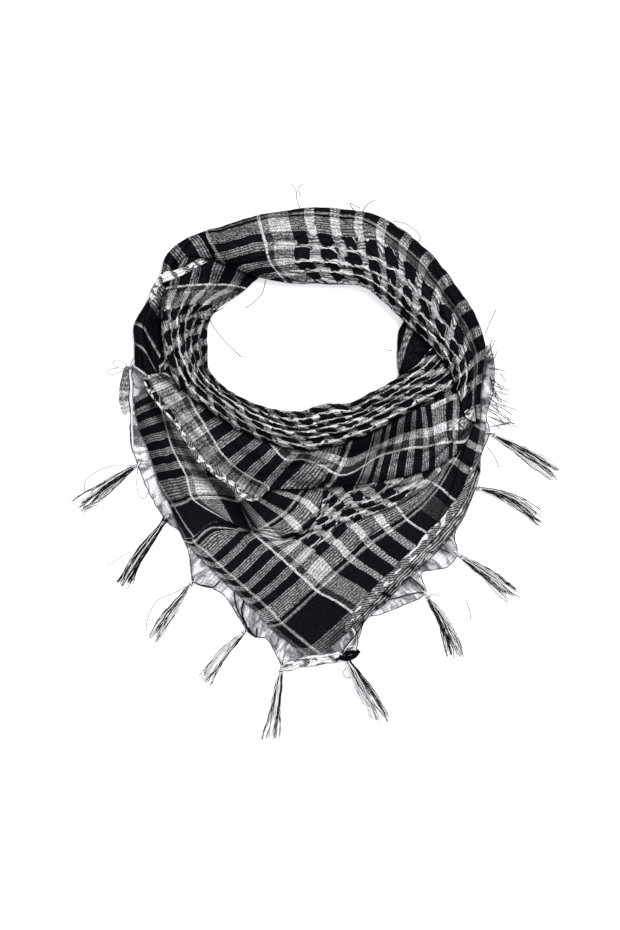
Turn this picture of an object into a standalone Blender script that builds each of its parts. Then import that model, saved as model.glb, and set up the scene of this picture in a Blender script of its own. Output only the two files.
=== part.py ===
"""A square cotton headscarf folded to a triangle and laid flat, its ends wound once round an open neck hole.

The cloth lies on a table: +Z is up, the point of the triangle is towards -Y. Plan places are in squares of a
1.1 mm drawing grid, x to the right and y down; heights are in millimetres above the table. Each stretch of
cloth that shows is a thin wall over one rounded solid of the layers hidden beneath it.
"""

import math

import bpy
import numpy as np

# ---------------------------------------------------------------- driving dimensions
SQUARE = 0.0011  # m, one square of the drawing grid
MM = 0.001
PLAN_CENTRE = (317.2, 478.2)  # the grid point that becomes X = Y = 0
CLOTH = 1.7 * MM  # thickness of a wall
GAP = 0.45 * MM  # clear air between two layers
CORE_GAP = 1.2 * MM  # clear air between the walls and the solid below them
HOLE_INSET = 7.0  # squares, how far that solid stays behind the hole's edge
CORE_BASE = 0.8 * MM  # its least height, at its rim
CORE_BARE = 10 * MM  # its height where no wall lies over it
STEEPEST = 0.6  # the least upward part of the way from a wall's upper face to its lower one
LEAN = 0.55  # how far that way leans along with a steep wall

TASSEL_STRANDS = 18
STRAND_ROWS = 2  # the strands leave a knot in this many rows
STRAND_RADIUS = 0.55 * MM
STRAND_LIFT = 1.45 * MM  # height of the lower row over the table
ROW_STEP = 1.5 * MM  # from the lower row to the upper one
STRAND_RINGS = ((0.06, 0.75), (0.45, 1.0), (1.0, 0.85))  # share of the length, share of the radius
STRAND_BEND = 0.05  # sideways bow of a strand, as a share of the tassel's spread
# a knot's front face carries the strands, and its back face is narrower and lower
KNOT_LENGTH = 4.0 * MM
KNOT_FRONT = {"forward": 0.0, "width": 7.0 * MM, "foot": 0.7 * MM, "height": 4.2 * MM}
KNOT_BACK = {"forward": -KNOT_LENGTH, "width": 3.85 * MM, "foot": 1.2 * MM, "height": 2.52 * MM}

CELL = 0.0015  # m, the plan raster on which the layers are stacked
RASTER = 460  # cells along each side of it

COLOURS = {
    "black border": (0.05, 0.055, 0.07),
    "check": (0.22, 0.22, 0.24),
    "pale hem": (0.62, 0.61, 0.6),
    "hidden folds": (0.12, 0.12, 0.14),
    "thread": (0.55, 0.55, 0.56),
}

# ---------------------------------------------------------------- the stretches
# Each stretch is a net of sections. A row is one section across the stretch, from its outer edge to its inner
# edge, and each entry is a plan place (x, y) and a height z. "sides" is the plan width, in squares, over which
# the outer edge, inner edge, first and last section round down; "mesh" is the count of points along and across.

LEFT_HEM = {  # the lower layer's hem, gathered to a point at each tassel
    "name": "under_hem_left",
    "cloth": "pale hem",
    "columns": ("edge", "middle", "tucked"),
    "sides": (2.0, 0.0, 0.0, 0.0),
    "mesh": (49, 3),
    "rows": (
        ((132, 366, 2.2), (140, 372, 1.8), (150, 380, 1.5)),
        ((133, 392, 1.6), (141, 394, 1.6), (152, 394, 1.5)),
        ((131, 418, 1.6), (142, 418, 1.6), (153, 416, 1.5)),
        ((131, 444, 1.6), (144, 444, 1.6), (160, 438, 1.5)),
        ((138, 464, 2.4), (149, 459, 1.8), (166, 452, 1.5)),
        ((143, 479, 1.6), (156, 474, 1.6), (174, 468, 1.5)),
        ((153, 500, 1.6), (164, 493, 1.6), (183, 484, 1.5)),
        ((165, 519, 2.4), (175, 511, 1.8), (192, 500, 1.5)),
        ((180, 532, 1.6), (188, 526, 1.6), (203, 518, 1.5)),
        ((190, 556, 1.6), (200, 548, 1.6), (214, 534, 1.5)),
        ((193.5, 581, 2.4), (206, 568, 1.8), (224, 548, 1.5)),
        ((210, 587, 1.6), (222, 574, 1.6), (240, 558, 1.5)),
        ((228, 599, 1.6), (238, 587, 1.6), (254, 571, 1.5)),
        ((246, 629.5, 2.4), (253, 608, 1.8), (266, 584, 1.5)),
        ((257, 637, 1.8), (264, 616, 1.6), (278, 595, 1.5)),
        ((268, 640, 1.6), (277, 626, 1.6), (290, 608, 1.5)),
        ((282, 667, 2.4), (288, 645, 1.8), (302, 624, 1.5)),
    ),
}
TIP_HEM = {
    "name": "under_hem_tip",
    "cloth": "pale hem",
    "columns": ("edge", "middle", "tucked"),
    "sides": (3.0, 0.0, 0.0, 0.0),
    "mesh": (10, 3),
    "rows": (
        ((288, 669, 1.9), (294, 655, 1.9), (306, 634, 1.5)),
        ((301, 665, 2.3), (307, 655, 2.1), (314, 636, 1.5)),
        ((320, 662, 2.3), (321, 654, 2.1), (322, 636, 1.5)),
        ((336, 659, 2.1), (334, 650, 2.0), (330, 634, 1.5)),
    ),
}
RIGHT_HEM = {
    "name": "under_hem_right",
    "cloth": "pale hem",
    "columns": ("edge", "middle", "tucked"),
    "sides": (2.0, 0.0, 0.0, 0.0),
    "mesh": (37, 3),
    "rows": (
        ((344, 654.5, 2.4), (340, 645, 1.9), (333, 626, 1.5)),
        ((357, 642, 1.6), (350, 632, 1.6), (342, 614, 1.5)),
        ((366, 619, 1.6), (362, 614, 1.6), (350, 600, 1.5)),
        ((380, 614, 1.6), (376, 604, 1.6), (364, 588, 1.5)),
        ((402, 606, 1.6), (394, 595, 1.6), (378, 576, 1.5)),
        ((425.5, 593.5, 2.4), (411, 584, 1.8), (390, 564, 1.5)),
        ((421, 574, 1.6), (413, 569, 1.6), (398, 556, 1.5)),
        ((434, 570, 1.6), (426, 563, 1.6), (408, 546, 1.5)),
        ((449, 566, 1.6), (438, 554, 1.6), (418, 536, 1.5)),
        ((457.5, 554, 2.4), (447, 543, 1.8), (428, 524, 1.5)),
        ((455, 534, 1.6), (450, 528, 1.6), (434, 512, 1.5)),
        ((466, 514, 1.6), (457, 508, 1.6), (440, 498, 1.5)),
        ((474.5, 486.5, 2.4), (463, 485, 1.8), (446, 482, 1.5)),
    ),
}
SIDE_HEM = {
    "name": "side_hem_right",
    "cloth": "pale hem",
    "columns": ("edge", "middle", "tucked"),
    "sides": (2.0, 0.0, 0.0, 0.0),
    "mesh": (19, 3),
    "rows": (
        ((480, 474, 1.7), (473, 473, 1.6), (465, 472, 1.5)),
        ((481, 455, 1.7), (475, 453, 1.6), (468, 451, 1.5)),
        ((489.5, 433, 2.4), (480, 432, 1.8), (471, 430, 1.5)),
        ((486, 416, 1.8), (481, 414, 1.6), (476, 412, 1.5)),
        ((493, 392, 1.8), (487, 390, 1.6), (481, 390, 1.5)),
        ((494, 366, 1.8), (488, 366, 1.6), (482, 368, 1.5)),
        ((490, 344, 1.6), (486, 346, 1.6), (482, 348, 1.5)),
    ),
}
CORNER_SCRAP = {  # the lower layer's corner, hanging out of the knot at the left
    "name": "corner_scrap",
    "cloth": "check",
    "columns": ("left", "middle", "right"),
    "sides": (2.0, 2.0, 2.0, 3.0),
    "mesh": (10, 5),
    "rows": (
        ((124, 368, 2.2), (127, 366, 3.4), (130.5, 368, 2.2)),
        ((120, 384, 1.8), (125, 384, 2.8), (130.5, 384, 1.8)),
        ((119, 400, 1.7), (124, 400, 2.4), (129.5, 399, 1.7)),
        ((122, 414, 1.6), (125.5, 415, 1.8), (129, 412, 1.6)),
    ),
}
INNER_LAYER = {
    "name": "inner_right_layer",
    "cloth": "black border",
    "columns": ("hole", "middle", "tucked"),
    "sides": (5.0, 0.0, 3.0, 3.0),
    "mesh": (9, 6),
    "rows": (
        ((404, 321, 9), (414, 316, 9), (424, 312, 7)),
        ((397, 333, 9), (414, 330, 12), (432, 327, 10)),
        ((394, 351, 9), (414, 348, 14), (438, 345, 12)),
        ((393, 363, 9), (412, 364, 14), (436, 366, 12)),
        ((396, 376, 8), (408, 380, 11), (426, 386, 9)),
    ),
}
FRONT_PANEL = {  # a row for each cloth line parallel to the right hem, from that hem to the upper left
    "name": "front_panel",
    "cloth": "black border",
    "columns": ("left hem", "line", "band", "line", "wide", "field", "field", "turn", "turn", "right", "top"),
    "sides": (2.5, 0.0, 3.0, 0.0),
    "mesh": (25, 23),
    "rows": (
        ((304, 655, 3.2), (318, 653, 3.4), (338, 641, 3.8), (360, 620, 4.4), (381, 601, 5), (416, 572, 5.5),
         (449, 538, 6), (466, 508, 6), (476, 478, 6), (482, 450, 6), (485, 424, 5)),
        ((288, 642, 3.4), (302, 640, 3.8), (320, 622, 4), (340, 604, 4.6), (360, 586, 5.4), (396, 560, 7),
         (431, 528, 8), (451, 501, 8.5), (464, 473, 9), (472, 446, 8), (478, 420, 7)),
        ((270, 627, 3.4), (283, 624, 4), (301, 608, 4.4), (318, 592, 5), (338, 573, 5.8), (374, 543, 8),
         (413, 516, 9), (438, 490, 9.5), (453, 465, 9.5), (465, 442, 9), (471, 414, 8)),
        ((255, 612, 3.4), (266, 607, 4), (284, 593, 4.4), (301, 577, 5), (320, 556, 5.8), (356, 522, 8),
         (396, 494, 8), (424, 472, 8), (440, 452, 8), (452, 434, 8), (460, 410, 8)),
        ((228, 585, 3.4), (243, 586, 4), (260, 571, 4.6), (277, 555, 5.2), (296, 535, 6), (336, 500, 8),
         (372, 474, 8), (398, 452, 8), (414, 434, 8), (428, 418, 8), (440, 400, 8)),
        ((203, 558, 3.4), (219, 563, 4), (236, 549, 4.6), (256, 536, 5.6), (276, 514, 6.5), (306, 484, 8),
         (340, 456, 8), (364, 436, 8), (384, 420, 8), (400, 408, 8), (412, 396, 8)),
        ((185, 540, 3.4), (196, 540, 4.2), (212, 526, 5), (228, 521, 6.5), (240, 508, 7.5), (266, 476, 8.5),
         (298, 452, 8), (322, 436, 8), (344, 424, 8), (364, 414, 8), (380, 406, 8)),
    ),
}
LEFT_PANEL = {  # the same layer further up the left hem
    "name": "left_panel",
    "cloth": "black border",
    "columns": ("left hem", "line", "band", "line", "wide", "tucked"),
    "sides": (4.0, 0.0, 2.0, 3.0),
    "mesh": (16, 11),
    "rows": (
        ((184.5, 539, 3.4), (194, 537, 4.2), (210, 524, 5.2), (226, 519, 6.5), (238, 506, 7.5), (252, 490, 8)),
        ((171, 508, 4.0), (180, 506, 5.4), (188, 503, 6.5), (194, 500, 7.5), (222, 497, 9), (242, 478, 9)),
        ((158, 482, 4.0), (168, 479, 6.0), (177, 478, 8.0), (186, 476, 9.0), (205, 476, 10), (228, 462, 10)),
        ((149, 452, 4.0), (158, 450, 7.0), (165, 449, 9.0), (172, 447, 10.0), (186, 444, 11), (210, 436, 11)),
        ((140, 424, 4.0), (148, 420, 8.0), (156, 417, 10.0), (163, 415, 11.0), (173, 412, 12), (190, 406, 12)),
        ((137, 396, 4.0), (143, 393, 8.0), (149, 390, 10.0), (155, 388, 11.0), (163, 386, 12), (176, 384, 12)),
    ),
}
LOWER_COWL = {
    "name": "lower_cowl",
    "cloth": "check",
    "columns": ("fold", "middle", "tucked"),
    "sides": (7.0, 0.0, 4.0, 4.0),
    "mesh": (22, 9),
    "rows": (
        ((252, 531, 7), (256, 516, 7), (262, 494, 5)),
        ((284, 535, 8), (284, 512, 10), (287, 482, 7)),
        ((310, 530, 9), (310, 508, 12), (311, 478, 8)),
        ((340, 524, 10), (340, 504, 13), (340, 476, 9)),
        ((370, 515, 11), (370, 498, 14), (370, 470, 9)),
        ((400, 503, 11), (398, 488, 14), (397, 464, 9)),
        ((424, 488, 11), (422, 476, 13), (419, 456, 9)),
        ((441, 470, 10), (438, 462, 10), (434, 448, 8)),
    ),
}
UPPER_COWL = {
    "name": "upper_cowl",
    "cloth": "black border",
    "columns": ("fold", "line", "middle", "tucked"),
    "sides": (6.0, 0.0, 4.0, 4.0),
    "mesh": (31, 10),
    "rows": (
        ((139, 376, 8), (148, 374, 10), (158, 372, 11), (170, 372, 11)),
        ((150, 400, 11), (168, 393, 12), (186, 386, 13), (200, 380, 7)),
        ((166, 420, 12), (190, 408, 14), (206, 399, 15), (222, 390, 9)),
        ((187, 445, 13), (208, 432, 15), (228, 420, 16), (244, 408, 10)),
        ((206, 465, 14), (226, 452, 16), (248, 436, 18), (264, 422, 12)),
        ((230, 483, 15), (246, 467, 17), (266, 450, 19), (284, 434, 12)),
        ((254, 500, 15), (264, 484, 18), (284, 462, 20), (302, 442, 12)),
        ((272, 490, 16), (284, 478, 18), (302, 460, 20), (318, 442, 12)),
        ((302, 489, 16), (312, 478, 18), (326, 460, 20), (338, 438, 12)),
        ((336, 487, 16), (344, 476, 18), (352, 456, 20), (360, 432, 12)),
        ((370, 482, 16), (374, 470, 18), (380, 450, 20), (386, 424, 12)),
        ((400, 477, 16), (402, 464, 18), (406, 442, 20), (410, 412, 12)),
        ((426, 471, 16), (428, 458, 18), (431, 436, 20), (434, 404, 12)),
        ((446, 461, 13), (449, 448, 16), (452, 426, 17), (454, 396, 11)),
        ((464, 446, 11), (465, 434, 13), (466, 414, 14), (466, 388, 9)),
        ((474, 424, 8), (474, 414, 9), (473, 400, 10), (471, 380, 8)),
    ),
}
LEFT_SHOULDER = {
    "name": "left_shoulder",
    "cloth": "black border",
    "columns": ("edge", "crest", "valley", "tucked"),
    "sides": (8.0, 0.0, 3.0, 3.0),
    "mesh": (22, 10),
    "rows": (
        ((205, 231, 9), (211, 240, 12), (217, 250, 10), (224, 262, 8)),
        ((184, 240, 15), (191, 250, 17), (199, 262, 12), (208, 276, 8)),
        ((166, 256, 17), (172, 262, 19), (180, 272, 12), (192, 286, 8)),
        ((160, 278, 17), (165, 281, 18), (172, 288, 11), (184, 298, 7)),
        ((146, 303, 18), (152, 306, 19), (159, 311, 10), (172, 318, 6)),
        ((134, 325, 18), (142, 328, 19), (154, 331, 9), (168, 334, 6)),
        ((134, 348, 17), (142, 350, 17), (155, 352, 8), (170, 354, 6)),
        ((137, 370, 10), (147, 373, 12), (160, 376, 8), (176, 378, 6)),
    ),
}
NECK_ROLL = {
    "name": "front_neck_roll",
    "cloth": "check",
    "columns": ("outer", "slope", "crest", "slope", "hole"),
    "sides": (7.0, 9.0, 4.0, 4.0),
    "mesh": (45, 15),
    "rows": (
        ((196, 256, 8), (212, 258, 9), (228, 260, 9), (244, 264, 9), (260, 270, 8)),
        ((173, 283, 17), (188, 284, 23), (204, 285, 26), (220, 286, 23), (235, 288, 15)),
        ((161, 304, 21), (176, 304, 29), (190, 304, 31), (205, 305, 27), (219, 309, 17)),
        ((161, 326, 20), (172, 325, 29), (184, 324, 32), (197, 323, 29), (209, 323, 18)),
        ((164, 350, 18), (175, 348, 28), (186, 347, 32), (197, 346, 29), (208, 345, 18)),
        ((173, 376, 19), (184, 372, 29), (193, 369, 32), (202, 366, 29), (210, 364, 18)),
        ((186, 393, 21), (196, 388, 30), (205, 384, 33), (213, 380, 30), (220, 377, 18)),
        ((212, 413, 22), (219, 407, 31), (226, 401, 34), (233, 396, 30), (238, 391, 18)),
        ((238, 430, 22), (244, 424, 31), (249, 418, 34), (254, 411, 30), (258, 404, 18)),
        ((266, 442, 22), (270, 434, 31), (274, 426, 34), (277, 418, 30), (279, 410, 18)),
        ((300, 450, 22), (301, 441, 31), (301, 432, 34), (302, 422, 30), (302, 411, 18)),
        ((332, 446, 22), (330, 436, 31), (328, 426, 34), (325, 415, 30), (322, 404, 18)),
        ((362, 437, 22), (358, 427, 31), (355, 417, 34), (352, 408, 30), (348, 399, 18)),
        ((393, 421, 22), (388, 411, 30), (383, 402, 34), (378, 394, 30), (373, 386, 18)),
        ((421, 404, 21), (414, 395, 29), (407, 386, 33), (401, 379, 29), (395, 373, 18)),
        ((446, 392, 17), (438, 382, 23), (430, 373, 26), (423, 366, 23), (416, 360, 17)),
        ((466, 372, 8), (457, 364, 9), (449, 357, 10), (442, 351, 9), (435, 345, 9)),
    ),
}
BACK_NECK = {
    "name": "back_neck",
    "cloth": "check",
    "columns": ("hem", "line", "field", "field", "hole"),
    "sides": (9.0, 9.0, 4.0, 4.0),
    "mesh": (43, 12),
    "rows": (
        ((205, 231, 12), (207, 238, 15), (210, 246, 17), (213, 254, 17), (217, 262, 15)),
        ((226, 225, 17), (229, 235, 23), (232, 247, 26), (236, 259, 25), (240, 271, 22)),
        ((252, 217, 20), (255, 229, 27), (258, 244, 31), (262, 262, 29), (267, 279, 20)),
        ((282, 211, 21), (284, 226, 29), (287, 244, 33), (291, 265, 31), (294, 284, 19)),
        ((318, 208, 21), (319, 225, 29), (320, 244, 33), (321, 264, 31), (322, 284, 19)),
        ((352, 210, 21), (350, 226, 29), (348, 246, 33), (346, 267, 31), (344, 286, 19)),
        ((380, 217, 21), (375, 232, 29), (370, 252, 33), (366, 272, 31), (362, 287, 19)),
        ((407, 234, 21), (400, 247, 29), (392, 265, 33), (384, 284, 31), (378, 297, 19)),
        ((430, 253, 21), (421, 266, 29), (411, 282, 33), (401, 299, 31), (394, 312, 20)),
        ((452, 280, 20), (441, 290, 28), (430, 303, 32), (419, 316, 30), (410, 327, 22)),
        ((470, 307, 19), (459, 315, 26), (448, 325, 29), (437, 335, 27), (428, 343, 22)),
        ((483, 333, 17), (472, 340, 23), (461, 347, 26), (450, 354, 24), (441, 360, 22)),
        ((488, 358, 15), (479, 362, 20), (470, 366, 23), (460, 370, 22), (451, 374, 20)),
        ((487, 384, 12), (480, 386, 17), (472, 387, 20), (464, 388, 20), (456, 390, 18)),
        ((483, 410, 9), (477, 409, 12), (471, 408, 15), (465, 407, 16), (458, 406, 16)),
    ),
}
# from the table upwards
STACK = (
    LEFT_HEM, TIP_HEM, RIGHT_HEM, SIDE_HEM, CORNER_SCRAP, INNER_LAYER, FRONT_PANEL, LEFT_PANEL,
    LOWER_COWL, UPPER_COWL, LEFT_SHOULDER, NECK_ROLL, BACK_NECK,
)

EDGE_HEIGHT = {  # the lowest that a stretch's rounded edge comes, m
    "back_neck": 5.0 * MM,
    "front_neck_roll": 4.5 * MM,
    "left_shoulder": 3.5 * MM,
    "upper_cowl": 3.5 * MM,
    "lower_cowl": 3.5 * MM,
    "inner_right_layer": 2.5 * MM,
}
EDGE_ON_TABLE = 2.0 * MM  # the same for a stretch that lies on the table

ON_TABLE = (LEFT_HEM, TIP_HEM, RIGHT_HEM, SIDE_HEM)  # these have a flat underside on the table

# Folds and gathers: from (along, across) to (along, across), each 0 to 1 of the stretch, half width in squares,
# height in mm; a height below zero is a trough.
FOLDS = {
    "front_neck_roll": (
        ((0.08, 0.24), (0.50, 0.28), 3.5, -4.5),
        ((0.12, 0.44), (0.46, 0.50), 3.2, -4.0),
        ((0.05, 0.66), (0.40, 0.70), 3.2, -4.0),
        ((0.40, 0.52), (0.96, 0.46), 3.5, -4.5),
        ((0.46, 0.74), (0.92, 0.68), 3.2, -4.0),
        ((0.56, 0.24), (0.98, 0.26), 3.5, -4.0),
        ((0.22, 0.86), (0.45, 0.84), 3.0, -3.0),
    ),
    "back_neck": (
        ((0.22, 0.76), (0.55, 0.72), 3.5, -3.6),
        ((0.50, 0.86), (0.84, 0.74), 3.5, -3.6),
        ((0.62, 0.30), (0.98, 0.36), 4.0, -3.2),
        ((0.30, 0.90), (0.48, 0.88), 3.0, -2.6),
        ((0.76, 0.58), (0.99, 0.62), 3.5, -3.6),
        ((0.10, 0.46), (0.34, 0.52), 5.0, -1.6),
    ),
    "upper_cowl": (
        ((0.42, 0.25), (0.78, 0.62), 5.0, -3.0),
        ((0.50, 0.75), (0.80, 0.86), 5.0, -3.0),
        ((0.74, 0.20), (0.96, 0.55), 4.0, -3.0),
        ((0.06, 0.55), (0.30, 0.62), 4.0, -2.2),
        ((0.30, 0.50), (0.52, 0.20), 5.0, -1.8),
    ),
    "lower_cowl": (
        ((0.20, 0.30), (0.70, 0.34), 4.0, -3.0),
        ((0.45, 0.55), (0.92, 0.50), 4.0, -3.0),
        ((0.05, 0.50), (0.32, 0.72), 4.0, -2.4),
    ),
    "left_shoulder": (
        ((0.06, 0.10), (0.34, 0.55), 4.0, -3.0),
        ((0.30, 0.20), (0.52, 0.40), 3.5, -2.6),
        ((0.55, 0.18), (0.80, 0.42), 4.0, -2.2),
    ),
    "left_panel": (
        ((0.05, 0.62), (0.60, 0.86), 4.0, -1.8),
        ((0.10, 0.92), (0.50, 0.94), 4.0, 1.8),
    ),
    "front_panel": (
        ((0.05, 0.30), (0.12, 0.90), 4.0, 2.0),
        ((0.62, 0.38), (0.98, 0.34), 4.0, 1.8),
        ((0.30, 0.44), (0.46, 0.62), 5.0, 1.6),
        ((0.10, 0.60), (0.30, 0.98), 5.0, -1.8),
    ),
}

# The tassels: where each leaves the hem, where its strands end, and how wide they have spread there, in squares.
TASSELS = (
    # knot          end           spread
    ((134.0, 467.0), (75.0, 512.0), 15.0),
    ((162.5, 523.0), (121.0, 587.0), 12.0),
    ((190.5, 585.0), (150.0, 642.0), 12.0),
    ((243.0, 633.5), (201.0, 683.0), 17.0),
    ((281.0, 672.0), (267.0, 747.0), 17.0),
    ((346.5, 659.0), (383.0, 722.0), 17.0),
    ((428.0, 598.0), (459.0, 661.0), 15.0),
    ((461.5, 557.0), (520.0, 597.0), 16.0),
    ((479.0, 488.5), (543.0, 519.0), 15.0),
    ((494.0, 435.5), (560.0, 477.0), 15.0),
)


# ---------------------------------------------------------------- plan and curves
def plan(x, y):
    """Metres from a place on the drawing grid."""
    return (np.asarray(x) - PLAN_CENTRE[0]) * SQUARE, (PLAN_CENTRE[1] - np.asarray(y)) * SQUARE


def smooth_through(rows, count):
    """A smooth curve through the rows, read at evenly spaced steps: a Catmull-Rom spline with its ends mirrored."""
    rows = np.asarray(rows, float)
    last = len(rows) - 1
    padded = np.concatenate([[2 * rows[0] - rows[1]], rows, [2 * rows[last] - rows[last - 1]]])
    at = np.linspace(0, last, count)
    start = np.minimum(at.astype(int), last - 1)
    t = (at - start).reshape((-1,) + (1,) * (rows.ndim - 1))
    a, b, c, d = (padded[start + k] for k in range(4))
    return 0.5 * (2 * b + (c - a) * t + (2 * a - 5 * b + 4 * c - d) * t**2 + (3 * b - a - 3 * c + d) * t**3)


def net_points(stretch):
    """The stretch's upper face as an array of points, [along, across, xyz], before it is laid on the others."""
    along, across = stretch["mesh"]
    net = smooth_through(stretch["rows"], along)
    net = smooth_through(net.transpose(1, 0, 2), across).transpose(1, 0, 2)
    x, y = plan(net[..., 0], net[..., 1])
    return np.stack([x, y, net[..., 2] * MM], axis=-1)


def rounded(distance, width):
    """0 at an edge and 1 from a width inside it, as a quarter round."""
    near = np.clip(distance / max(width, 1e-9), 0, 1)
    return np.sqrt(np.clip(1 - (1 - near) ** 2, 0, 1))


def lengths_from_edge(points, axis, flip):
    """Plan distance of each point from the net's first row or column, measured along the cloth."""
    if flip:
        points = np.flip(points, axis)
    steps = np.linalg.norm(np.diff(points[..., :2], axis=axis), axis=-1)
    first = np.zeros_like(np.take(steps, [0], axis))
    far = np.cumsum(np.concatenate([first, steps], axis), axis)
    return np.flip(far, axis) if flip else far


def round_the_edges(points, stretch, floor):
    """Lowers the net's four sides in a quarter round, down to what lies below them."""
    outer, inner, first, last = stretch["sides"]
    sides = ((outer, 1, False), (inner, 1, True), (first, 0, False), (last, 0, True))
    share = np.ones(points.shape[:2])
    for width, axis, flip in sides:
        if width:
            share = np.minimum(share, rounded(lengths_from_edge(points, axis, flip), width * SQUARE))
    cx, cy = cells_of(points[..., 0], points[..., 1])
    low = np.maximum(EDGE_HEIGHT.get(stretch["name"], EDGE_ON_TABLE), floor[cx, cy] + CLOTH + GAP)
    low = np.minimum(low, points[..., 2])
    points[..., 2] = low + (points[..., 2] - low) * share
    return points


def add_folds(points, folds):
    """Raises a soft ridge, or sinks a soft trough, along each fold's line across the net."""
    along, across = points.shape[:2]
    u = np.linspace(0, 1, along)[:, None]
    v = np.linspace(0, 1, across)[None, :]
    width_of_row = lengths_from_edge(points, 1, False)[:, -1][:, None] / SQUARE
    for (u0, v0), (u1, v1), half_width, height in folds:
        t = np.clip((u - u0) / (u1 - u0), 0, 1)
        ends = np.sin(np.pi * np.clip(t, 0.001, 0.999)) ** 0.5 * ((u > u0) & (u < u1))
        off = (v - (v0 + (v1 - v0) * t)) * width_of_row
        points[..., 2] += height * MM * ends * np.exp(-((off / half_width) ** 2))
    return points


# ---------------------------------------------------------------- stacking
def cells_of(x, y):
    return (
        np.clip((x / CELL + RASTER / 2).astype(int), 0, RASTER - 1),
        np.clip((y / CELL + RASTER / 2).astype(int), 0, RASTER - 1),
    )


def inside_facets(grid, steps=8):
    """Points spread over each facet of a net: [facet along, facet across, step, step, xyz]."""
    a = np.linspace(0, 1, steps)
    s, t = (k[..., None] for k in np.meshgrid(a, a, indexing="ij"))
    p00, p10, p01, p11 = grid[:-1, :-1], grid[1:, :-1], grid[:-1, 1:], grid[1:, 1:]
    p00, p10, p01, p11 = (p[:, :, None, None, :] for p in (p00, p10, p01, p11))
    # each facet is two triangles that share the edge from p10 to p01
    near = p00 + (p10 - p00) * s + (p01 - p00) * t
    far = p11 + (p01 - p11) * (1 - s) + (p10 - p11) * (1 - t)
    return np.where(s + t <= 1, near, far)


def normals_of(points):
    """The upward normal of a net at each of its points."""
    du = np.gradient(points, axis=0)
    dv = np.gradient(points, axis=1)
    normal = np.cross(du, dv)
    normal /= np.maximum(np.linalg.norm(normal, axis=-1, keepdims=True), 1e-12)
    return normal * np.sign(normal[..., 2:3] + 1e-9)


def under_face(points, thickness):
    """The cloth's lower face: down by its thickness, and a little inwards where the cloth is steep."""
    normal = normals_of(points)
    lean = normal.copy()
    lean[..., 2] = np.maximum(lean[..., 2], STEEPEST)
    lean[..., :2] *= LEAN
    return points - thickness * lean


def neighbours(values):
    """Nine copies of the array, each moved by one step in one direction or none, with its own edge repeated."""
    padded = np.pad(values, 1, mode="edge")
    tall, wide = values.shape
    return np.array([padded[i : i + tall, j : j + wide] for i in range(3) for j in range(3)])


def spread(values):
    """The greatest of each point and its neighbours."""
    return neighbours(values).max(axis=0)


def soften(values):
    """A soft mean of each point and its neighbours."""
    return 0.5 * values + 0.5 * neighbours(values).mean(axis=0)


def lift_needed(lower, floor, clear):
    """How far each point must rise so that no facet of the lower face comes nearer than clear to the floor."""
    samples = inside_facets(lower)
    cx, cy = cells_of(samples[..., 0], samples[..., 1])
    short = (floor[cx, cy] + clear - samples[..., 2]).max(axis=(2, 3))
    need = np.full(lower.shape[:2], -1.0)
    for i in (0, 1):
        for j in (0, 1):
            block = need[i : i + short.shape[0], j : j + short.shape[1]]
            np.maximum(block, short, out=block)
    return np.maximum(need, 0)


def lay_on(points, thickness, floor, clear):
    """Lifts a net until its lower face clears everything stacked so far."""
    for turn in range(4):
        lift = lift_needed(under_face(points, thickness), floor, clear)
        if lift.max() <= 0:
            break
        if turn == 0:
            lift = np.maximum(lift, soften(soften(spread(lift))))
        points[..., 2] += lift
    return points


def add_to_floor(points, floor):
    samples = inside_facets(points)
    cx, cy = cells_of(samples[..., 0].ravel(), samples[..., 1].ravel())
    top = np.full_like(floor, 0)
    np.maximum.at(top, (cx, cy), samples[..., 2].ravel())
    np.maximum(floor, spread(top), out=floor)


def lower_ceiling(lower, ceiling):
    samples = inside_facets(lower)
    cx, cy = cells_of(samples[..., 0].ravel(), samples[..., 1].ravel())
    np.minimum.at(ceiling, (cx, cy), samples[..., 2].ravel())


# ---------------------------------------------------------------- meshes
def fabric(name, colour):
    material = bpy.data.materials.new(name)
    material.use_nodes = True
    shader = material.node_tree.nodes["Principled BSDF"]
    shader.inputs["Base Color"].default_value = (*colour, 1)
    shader.inputs["Roughness"].default_value = 0.9
    shader.inputs["Metallic"].default_value = 0
    material.diffuse_color = (*colour, 1)
    return material


def add_object(name, vertices, faces, material):
    mesh = bpy.data.meshes.new(name)
    mesh.from_pydata([tuple(map(float, v)) for v in vertices], [], [tuple(map(int, f)) for f in faces])
    mesh.materials.append(material)
    mesh.update()
    obj = bpy.data.objects.new(name, mesh)
    bpy.context.scene.collection.objects.link(obj)
    return obj


def add_wall(name, upper, lower, material):
    """A closed wall between two nets with the same count of points."""
    along, across = upper.shape[:2]
    index = np.arange(along * across).reshape(along, across)
    below = index + along * across
    faces = []
    for i in range(along - 1):
        for j in range(across - 1):
            a, b, c, d = index[i, j], index[i + 1, j], index[i + 1, j + 1], index[i, j + 1]
            faces += [(a, b, d), (b, c, d)]
            a, b, c, d = below[i, j], below[i + 1, j], below[i + 1, j + 1], below[i, j + 1]
            faces += [(a, d, b), (b, d, c)]
    rim = [index[i, 0] for i in range(along)]
    rim += [index[along - 1, j] for j in range(1, across)]
    rim += [index[i, across - 1] for i in range(along - 2, -1, -1)]
    rim += [index[0, j] for j in range(across - 2, 0, -1)]
    shift = along * across
    for here, there in zip(rim, rim[1:] + rim[:1]):
        faces += [(here, here + shift, there + shift), (here, there + shift, there)]
    vertices = np.concatenate([upper.reshape(-1, 3), lower.reshape(-1, 3)])
    if faces_point_in(vertices, faces):
        faces = [face[::-1] for face in faces]
    return add_object(name, vertices, faces, material)


def faces_point_in(vertices, faces):
    corners = np.asarray(vertices)[np.asarray(faces)]
    return np.linalg.det(corners - corners.mean(axis=(0, 1))).sum() < 0


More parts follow.
